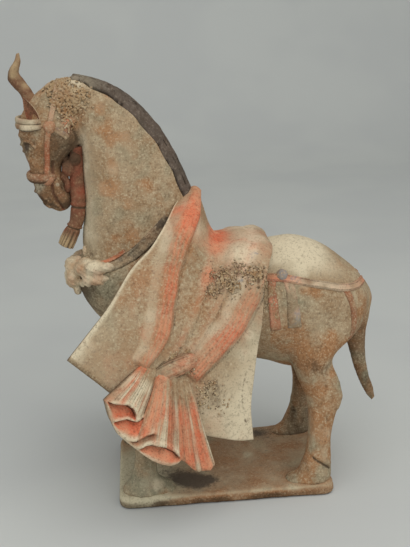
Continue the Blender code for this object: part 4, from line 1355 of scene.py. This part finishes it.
def earPiece(flank):
    side, shape = flanks[flank], earShape
    root, tip, wide = np.array(outward([shape[key] for key in ("root", "tip", "across")], side), float)
    up, wide = unit(tip - root), unit(wide)
    deep = unit(np.cross(up, wide)) * side
    turn = turns(32)
    # a leaf with a hollow inner face
    depth = shape["depth"] * np.where(np.sin(turn) > 0, 0.55 * np.cos(2 * turn) - 0.35, 1)
    section = wide * np.cos(turn)[:, None] + deep * (depth * np.sin(turn))[:, None]
    rings = []
    for share in np.linspace(0, 1, 26):
        half = shape["half"] * math.sin(math.pi * (0.3 + 0.69 * share)) + 0.05
        rings.append(root + (tip - root) * share + section * half)
    piece, _, around = loftPiece(f"{flank}Ear", rings)
    inside = np.sin(turn)[around] > 0.2
    finishPiece(piece, clay, {"paint": 0.9 * inside, "dirtAndShade": 0.6 * inside + 0.1, "pale": 0.45 * ~inside})


plumeShape = [
    (-143, 320, -130, 324, 0, 4.5), (-144, 331, -135, 334, 0, 4.2), (-149, 338, -140, 342, 0, 3.8),
    (-153, 344, -144, 348, 0, 3.6), (-151.5, 351, -143.5, 352, 0, 3.2), (-147, 357, -142, 358, 0, 2.4),
    (-145, 363, -142.5, 363.5, 0, 1.2),
]


def plumePiece():
    piece, _, _ = loftPiece("plume", ovalRings(plumeShape, 28, 70))
    p = roughened(piece, (0.35, 5, 2))
    x, _, z = p.T
    finishPiece(piece, ropeClay, {
        "warm": 0.25,
        "paint": 0.45 * step(336, 322, z) + 0.2 * cloudy(p, 9, 2),
        "pale": 0.3 + 0.4 * cloudy(p, 8, 5) + 0.3 * step(356, 364, z),
        "dirtAndShade": 0.12 + 0.45 * step(-148, -153, x) + 0.3 * step(344, 334, z) * step(-142, -147, x),
    })


maneShape = {"reach": (9.5, 9), "height": 1.9, "bed": 1.5}


def manePiece():
    # laid over the crest, down both sides of the neck
    shape, stations = maneShape, 150
    share = np.linspace(0, 1, stations)
    crest = curveOf([(row[2], 0, row[3]) for row in horseShape["neck"][1:]], share)
    ahead = unit(np.gradient(crest, axis=0))
    out = np.stack([ahead[:, 2], 0 * ahead[:, 0], -ahead[:, 0]], -1)
    down, aside = shape["reach"]
    reach = (0.45 + 0.55 * step(1.0, 0.75, share)) * (1 + 0.05 * np.sin(share * 40))
    ends = step(0, 0.02, share) * step(0, 0.03, 1 - share)
    crown, foot = [], []
    for across in np.linspace(-1, 1, 25):
        inward = (
            out * (-down * across**2 * reach)[:, None] + np.array([0, aside * across, 0]) * reach[:, None]
        )
        spots, ways = dropped(horseTree, crest + inward + out * 0.5)
        spots, ways = evened(spots, 3), unit(evened(ways, 10))
        strand = 0.25 * np.sin(9 * across + 2 * np.sin(share * 14)) if abs(across) < 0.9 else 0
        crown.append(
            spots + ways * ((shape["height"] * (1 - abs(across) ** 8) + strand) * ends - 0.2)[:, None]
        )
        foot.append(spots - ways * shape["bed"])
    piece, ring, around = loftPiece("mane", np.stack(crown + foot[::-3], 1))
    p = roughened(piece, (0.25, 6, 5), (0.12, 2.5, 6))
    s = share[ring]
    finishPiece(piece, maneClay, {
        "dark": 0.38 + 0.5 * cloudy(p, 14, 7),
        "warm": 0.25,
        "pale": 0.25 * cloudy(p, 12, 3) + 0.55 * step(0.72, 0.98, s),
        "green": 0.6 * step(0.7, 0.95, s),
        # painted shade along the foot, where the mane meets the neck
        "dirtAndShade": 0.5 * (around > 24),
    })


tasselShape = {
    "rows": [
        (-110, 290, -99.5, 291, -3, 4.4), (-111.6, 276, -100.6, 277, -4, 4.8),
        (-112.2, 260, -100.6, 260, -5, 4.9), (-112.6, 246, -101.2, 244.5, -5, 4.7),
        (-113.8, 236, -102.8, 232.5, -5, 4.5), (-116, 230, -106, 226, -5, 4.4),
        (-120.4, 223.5, -109.4, 218.5, -5, 5.2), (-125, 215, -114, 209.5, -5, 5.6),
    ],
    # rings bound round it (+) and the nicks below them (-): share, width, height
    "rings": [(0.425, 0.014, 0.09), (0.715, 0.014, 0.12), (0.45, 0.012, -0.1), (0.742, 0.012, -0.12)],
    "brush": (0.745, 0.8),
}


def throatTassel():
    # a cord bound by two rings, then a brush
    shape, around = tasselShape, 48
    rings = ovalRings(shape["rows"], around, 120)
    share, turn = np.linspace(0, 1, len(rings)), turns(around)
    middle = rings.mean(1, keepdims=True)
    swell = 1 + sum(height * bump(share - at, width) for at, width, height in shape["rings"])
    twist = 0.03 * np.sin(3 * turn + 20 * share[:, None]) * (share < 0.74)[:, None]
    strands = np.sin(12 * turn + 1.5 * np.sin(3 * turn))
    hair = 0.07 * strands[None] * step(*shape["brush"], share)[:, None] + twist
    rings = middle + (rings - middle) * (swell[:, None] * (1 + hair))[..., None]
    piece, ring, place = loftPiece("throatTassel", rings)
    p = roughened(piece, (0.35, 5, 4))
    s, groove = share[ring], strands[place] < -0.2
    # painted shade in the nicks and between the brush's strands; darker towards the top
    nicks = bump(s - 0.45, 0.010) + bump(s - 0.742, 0.010)
    finishPiece(piece, ropeClay, {
        "paint": 0.4 * (1 - step(0.4, 0.6, s)) + 0.3 * cloudy(p, 8, 6),
        "warm": 0.4,
        "pale": 0.1 + 0.55 * step(0.76, 0.95, s),
        "dirtAndShade": 0.14 + 0.9 * nicks + 0.6 * step(0.75, 0.8, s) * groove + 0.4 * (1 - step(0.1, 0.4, s)),
    })


lumpShape = {
    # each piece is oval lumps pressed together: (x, y, z, half x, half y, half z)
    "breastKnot": {"softening": 10, "crease": 0.22, "lumps": [
        (-113, -6, 196, 9, 10, 7.5), (-114, -12, 188, 7.5, 8, 11), (-112, -14, 178, 3.4, 4.6, 5),
        (-104, -19, 197, 9.5, 9, 8), (-95, -26, 198, 10, 7.5, 6.5), (-101, -24, 189, 6.5, 6.5, 7.5),
        (-94, -29, 188.5, 8.5, 5, 5), (-88, -31, 190, 5, 3, 3), (-87, -31, 199.5, 6, 4, 3.6),
        (-108, 10, 197, 9, 9, 6.5), (-98, 24, 199, 8, 6.5, 5), (-110, 8, 187, 5, 6.5, 9),
        (-101, 24, 189, 6, 5, 5.5), (-89, 31, 199.5, 6, 4, 3.6), (-104, -9, 208, 2.2, 2.4, 5),
        (-119, -9, 190, 3.4, 4, 5), (-107, -20, 184, 3, 4, 4),
    ]},
    "throatKnot": {"softening": 3, "crease": 0, "lumps": [
        (-112, -6, 275, 5.4, 5.5, 6.5), (-106.5, -7, 282, 5, 5.5, 5.5), (-116, -3, 268, 3.4, 4.5, 5),
        (-114, -5, 261, 2.6, 4, 6), (-112, 5, 276, 5, 5.5, 6), (-106.5, 5, 283, 5, 5, 5),
        (-108, 0, 290, 5.5, 8, 5), (-115, 0, 282, 4, 6, 5),
    ]},
}


def lumpPiece(name):
    shape, parts = lumpShape[name], []
    for x, y, z, *half in shape["lumps"]:
        lump, ball = ballPart(3)
        writePoints(lump, ball * np.array(half) + np.array([x, y, z]))
        parts.append(lump)
    piece = joined(name, parts)
    applyModifier(piece, "REMESH", mode="VOXEL", voxel_size=0.8 * mm)
    applyModifier(piece, "SMOOTH", factor=0.5, iterations=shape["softening"])
    p = readPoints(piece)
    crease = shape["crease"] * np.sin(p[:, 2] * 1.7 + p[:, 0] * 0.9 + 2 * cloudy(p, 9, 4))
    pushed(piece, 0.7 * cloudy(p, 6, 4) + 0.3 * cloudy(p, 2.6, 3) + crease)
    return piece, readPoints(piece), step(0.25, 1.4, sunk(piece, 10))


def breastKnot():
    piece, p, hollow = lumpPiece("breastKnot")
    finishPiece(piece, clay, {
        "pale": 0.6 + 0.3 * cloudy(p, 9, 3),
        "warm": 0.65,
        # painted shade in the hollows between the lumps
        "dirtAndShade": 0.85 * hollow + patches(p, [(-107, 20, 190, 3.5, 0.7)]),
        "paint": 0.2 * step(0, 0.5, cloudy(p, 8, 5)),
        "green": 0.35 * step(190, 178, p[:, 2]),
    })


def throatKnot():
    piece, p, hollow = lumpPiece("throatKnot")
    finishPiece(piece, ropeClay, {
        "warm": 0.4,
        "paint": 0.35 + 0.3 * cloudy(p, 7, 3),
        # painted shade all over, deepest towards the top under the jaw and in the hollows between the lumps
        "dirtAndShade": 0.45 + 0.5 * hollow + 0.5 * step(272, 286, p[:, 2]),
    })


for name in bandRoll:
    headBand(name)
for flank in flanks:
    earPiece(flank)
plumePiece()
manePiece()
throatTassel()
breastKnot()
throatKnot()
print("the head's bands, ears, plume, mane and tassels are made")

clothTree = treeOf(cloth)
for place in crustShape["patches"]:
    for flank in flanks:
        crustPiece(place, flank, clothTree if place in crustShape["on the cloth"] else horseTree)
print("the burial crust is grown")


# (x, out y, z, radius, strength)
horsePatches = {
    "pale": [
        # the first spots, over the rump's top, are pale clay and painted highlight
        (58, 22, 207, 24, 0.75), (80, 26, 198, 20, 0.45), (100, 30, 188, 14, 0.25), (-100, 12, 338, 12, 0.4),
        (50, 0, 208, 20, 0.35), (75, 0, 204, 18, 0.3), (-112, 0, 342, 12, 0.25), (-138, 9, 262, 3, 0.8),
        (-121.5, 9, 262.5, 1.5, 1.2), (-138, 8, 259, 4, 0.7), (-134, 10, 263, 4, 0.5), (78, 40, 50, 9, 0.4),
        (70, 40, 62, 8, 0.3), (-66, 50, 20, 15, 0.4), (70, 50, 46, 9, 0.1),
    ],
    "warm": [
        (-72, 24, 245, 7, 0.6), (-84, 20, 261, 7, 0.6), (-83, 17, 301, 9, 0.5), (-73, 20, 277, 7, 0.5),
        (-50, 22, 256, 8, 0.4), (-89, 15, 305, 5, 0.5), (63, 44, 142, 9, 0.4), (83, 46, 129, 9, 0.4),
        (70, 44, 110, 8, 0.4), (77, 46, 66, 6, 0.5),
    ],
    "green": [
        (-100, 22, 185, 20, 1.0), (-70, 46, 22, 20, 1), (-142, 11, 288, 9, 0.9), (60, 44, 168, 12, 0.6),
        (-104, 8, 232, 14, 0.5), (76, 46, 22, 12, 0.4), (60, 30, 190, 16, 0.3), (-118, 14, 330, 10, 0.5),
        (-64, 46, 18, 24, 0.3),
    ],
    "dark": [
        # painted shade in the eye socket, at the nostril, under the jaw and on the chest
        (-143, 11, 294, 4, 1.0), (-146, 8, 288, 5, 0.6), (-137, 9, 254, 3.5, 0.7), (-110, 12, 290, 7, 0.5),
        (-88, 30, 188, 8, 0.35), (-104, 16, 296, 6, 0.5),
    ],
    "paint": [
        (-109, 15, 312, 4.5, 0.9), (-133, 8, 251, 3, 0.5), (-110, 16, 304, 4, 0.4), (-119, 10, 254, 3.5, 0.35)
    ],
    # painted shade in the nostril and over the chest, dirt on the thigh
    "dirtAndShade": [(-134.5, 8, 252, 2.4, 1.3), (74, 44, 116, 18, 0.3), (-104, 16, 184, 16, 0.8)],
    "blue": [(-108, 17, 305, 3, 0.7)],
}


def alongStrokes(points, strokes, names, width, strength):
    # marks along the lines that shapeHorse cut
    lines = [(strokes[name][0], width, strength) for name in names]
    return stroked(points, bothStrokes(horseTree, lines))


def finishHorse():
    roughened(horse, (0.45, 30, 1), (0.2, 7, 2), (0.1, 3.4, 3))
    p, normals, hollow = readPoints(horse), readNormals(horse), sunk(horse, 10)
    x, y, z = p.T
    neck = step(-40, -60, x) * step(205, 225, z)
    head = step(-96, -104, x) * step(236, 250, z)
    legs = step(120, 100, z)
    blotch = cloudy(p, 12, 11)
    warped = 3 * cloudy(p, 9, 41)[:, None], 3 * cloudy(p, 9, 42)[:, None]
    spots = {name: patches(p, rows) for name, rows in horsePatches.items()}
    streak = legs * (z < 72) * step(0.2, 0.8, cloudy(p * np.array([1, 1, 0.16]), 3.2, 14))

    # a painted highlight down the front of the neck
    throat = 0.42 * bump(x + 99, 8) * step(200, 220, z) * (1 - step(300, 315, z))
    pale = spots["pale"] + throat + 0.2 * neck * step(0, 0.6, blotch) + 0.12 * streak
    pale += 0.24 * step(0.15, 0.95, cloudy(p + warped[0], 15, 31)) * (1 - head)

    warm = 0.14 + 0.3 * step(185, 120, z) * (x > 40) + 0.45 * cloudy(p, 24, 3) + (0.45 + 0.25 * neck) * blotch
    warm += (
        spots["warm"] + 0.45 * step(104, 116, x) * step(116, 150, z) + head * (0.4 + 0.3 * step(300, 280, z))
    )

    green = spots["green"] + 0.5 * legs * step(-0.1, 0.5, cloudy(p, 11, 15)) + 0.3 * streak
    green += 0.5 * step(0.1, 0.8, cloudy(p + warped[1], 17, 33)) * (1 - head)

    strokes = headShape["strokes"]
    lines = alongStrokes(p, strokes, ("nostril", "mouth", "jaw line", "cheek line"), 1.0, 1)
    red = alongStrokes(p, strokes, ("mouth", "cheek line"), 1.3, 0.8)
    crack = alongStrokes(p, legShape, ("hoof crack",), 1.1, 1)

    grains = crustShape["patches"]["poll"] + crustShape["patches"]["strap"]
    crusts = patches(p, [(x0, y0, z0, spread * 0.9, 0.6) for x0, y0, z0, spread, _ in grains])
    crusts = np.clip(crusts, 0, 1) * step(-0.4, 0.4, cloudy(p, 3.5, 19))
    # painted shade on the legs' inner faces, between the legs
    inner = legs * step(0.1, 0.6, -normals[:, 1] * np.sign(y))
    tail = step(106, 114, x) * step(150, 116, z)
    mottle = (
        0.22 * step(0.2, 0.9, cloudy(p, 9, 35)) + 0.14 * step(190, 120, z) * step(0, 0.8, cloudy(p, 20, 37))
    )
    cheek = step(-132, -120, x) * step(312, 300, z) * step(268, 280, z)
    chin = step(0.1, 0.8, -normals[:, 2]) * (z < 262)
    shade = head * (0.12 + 0.3 * step(312, 300, z) + 0.2 * step(270, 256, z) + 0.5 * chin + 0.25 * cheek)
    # painted shade over the chest
    chest = step(-40, -50, x) * step(214, 200, z) * (x < -60) * (z > 150)
    # dirt and painted shade in the hollows; painted shade in the face's grooves
    dirtAndShade = spots["dirtAndShade"] + 0.75 * step(0.12, 0.7, hollow) + 0.6 * np.clip(lines, 0, 1) + shade + mottle
    dirtAndShade += (
        0.45 * inner + 0.75 * crack + 0.3 * step(14, 10, z) * (x > 0) + 0.42 * tail + 0.5 * crusts
        + 0.25 * chest
    )
    finishPiece(horse, clay, {
        "pale": pale, "warm": warm, "green": green, "dark": spots["dark"], "paint": spots["paint"] + red,
        "dirtAndShade": dirtAndShade, "blue": spots["blue"],
    })
    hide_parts("saddled_horse")


finishHorse()


plinthShape = {
    "size": (178, 116, 10), "corner": 9, "edge": 2.6, "voxel": 1.55, "worn": 0.6,
    # clay banked round the hooves: (x, out y, half x, half y, height)
    "banks": [(-64, 45, 26, 15, 2.5), (70, 45, 24, 15, 2.5)],
    # (x, y, z, radius, strength)
    "green": [
        (-75, -30, 10, 30, 1), (-80, -52, 5, 30, 0.8), (-82, 20, 10, 25, 0.6), (-62, -46, 14, 20, 0.4),
        (-62, 46, 14, 20, 0.4), (64, -44, 12, 14, 0.25), (64, 44, 12, 14, 0.25),
    ],
    "dark": [
        (-24, -37, 10, 13, 0.8), (-34, -30, 10, 12, 0.7), (-12, -36, 10, 9, 0.5), (-45, -20, 10, 18, 0.4),
        (38, 44, 10, 12, 0.6), (60, 20, 10, 30, 0.2),
    ],
    "pale": [
        (-80, -48, 12, 20, 0.5), (-62, -50, 13, 14, 0.4), (-84, 0, 10, 24, 0.6), (-74, -24, 10, 26, 0.6),
        (-62, -42, 10, 22, 0.4),
    ],
}


def makePlinth():
    shape = plinthShape
    deselect()
    bpy.ops.mesh.primitive_cube_add(size=1, location=(0, 0, 0))
    piece = added("wornPlinth")
    writePoints(piece, (readPoints(piece) * mm + np.array([0, 0, 0.5])) * np.array(shape["size"]))
    editing(piece)
    bpy.ops.mesh.select_mode(type="EDGE")
    bpy.ops.mesh.select_all(action="DESELECT")
    mesh = bmesh.from_edit_mesh(piece.data)
    for edge in mesh.edges:
        edge.select_set(abs(edge.verts[0].co.z - edge.verts[1].co.z) > 0.001)
    bmesh.update_edit_mesh(piece.data)
    bpy.ops.mesh.bevel(offset=shape["corner"] * mm, segments=6, affect="EDGES")
    doneEditing()
    sharp = math.radians(50)
    applyModifier(
        piece, "BEVEL", width=shape["edge"] * mm, segments=2, limit_method="ANGLE", angle_limit=sharp
    )
    applyModifier(piece, "REMESH", mode="VOXEL", voxel_size=shape["voxel"] * mm)
    p = readPoints(piece)
    rough = shape["worn"] * (cloudy(p, 22, 4) + 0.5 * cloudy(p, 7, 5) + 0.25 * cloudy(p, 3, 6))
    pushed(piece, np.minimum(rough * (p[:, 2] > 0.6), 0.2))  # the underside stays flat
    p = readPoints(piece)
    p[:, 2] = np.maximum(p[:, 2], 0)
    x, y, z = p.T
    top = step(4, 9, z)
    for bankX, bankY, halfX, halfY, height in bothFlanks(shape["banks"]):
        away = np.sqrt(((x - bankX) / halfX) ** 2 + ((y - bankY) / halfY) ** 2) + 0.12 * cloudy(p, 9, 8)
        p[:, 2] += height * step(1.15, 0.35, away) * (top > 0.9)
    writePoints(piece, p)
    blotch, front = cloudy(p, 16, 11), 1 - top
    # the sides darker than the top and the top a little paler, stains and painted shade; darker still at the
    # foot
    sideStainAndShade = (0.46 + 0.25 * blotch + 0.15 * step(-40, -70, x)) * front
    finishPiece(piece, plinthClay, {
        "green": spotted(p, shape["green"]) + 0.4 * step(0.1, 0.7, cloudy(p, 26, 12)),
        "dark": spotted(p, shape["dark"]),
        "warm": 0.42 + 0.4 * blotch + 0.2 * front,
        "dirtAndShade": 0.5 * step(2.5, 0, z) + sideStainAndShade + 0.12 * step(0.1, 0.8, blotch),
        "pale": spotted(p, shape["pale"]) + 0.1 * top + 0.3 * bump(z - 8.8, 1.4)
            + 0.2 * step(0, 1, cloudy(p, 20, 6)),
    })
    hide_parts("plinth")


makePlinth()
print("the plinth is made")
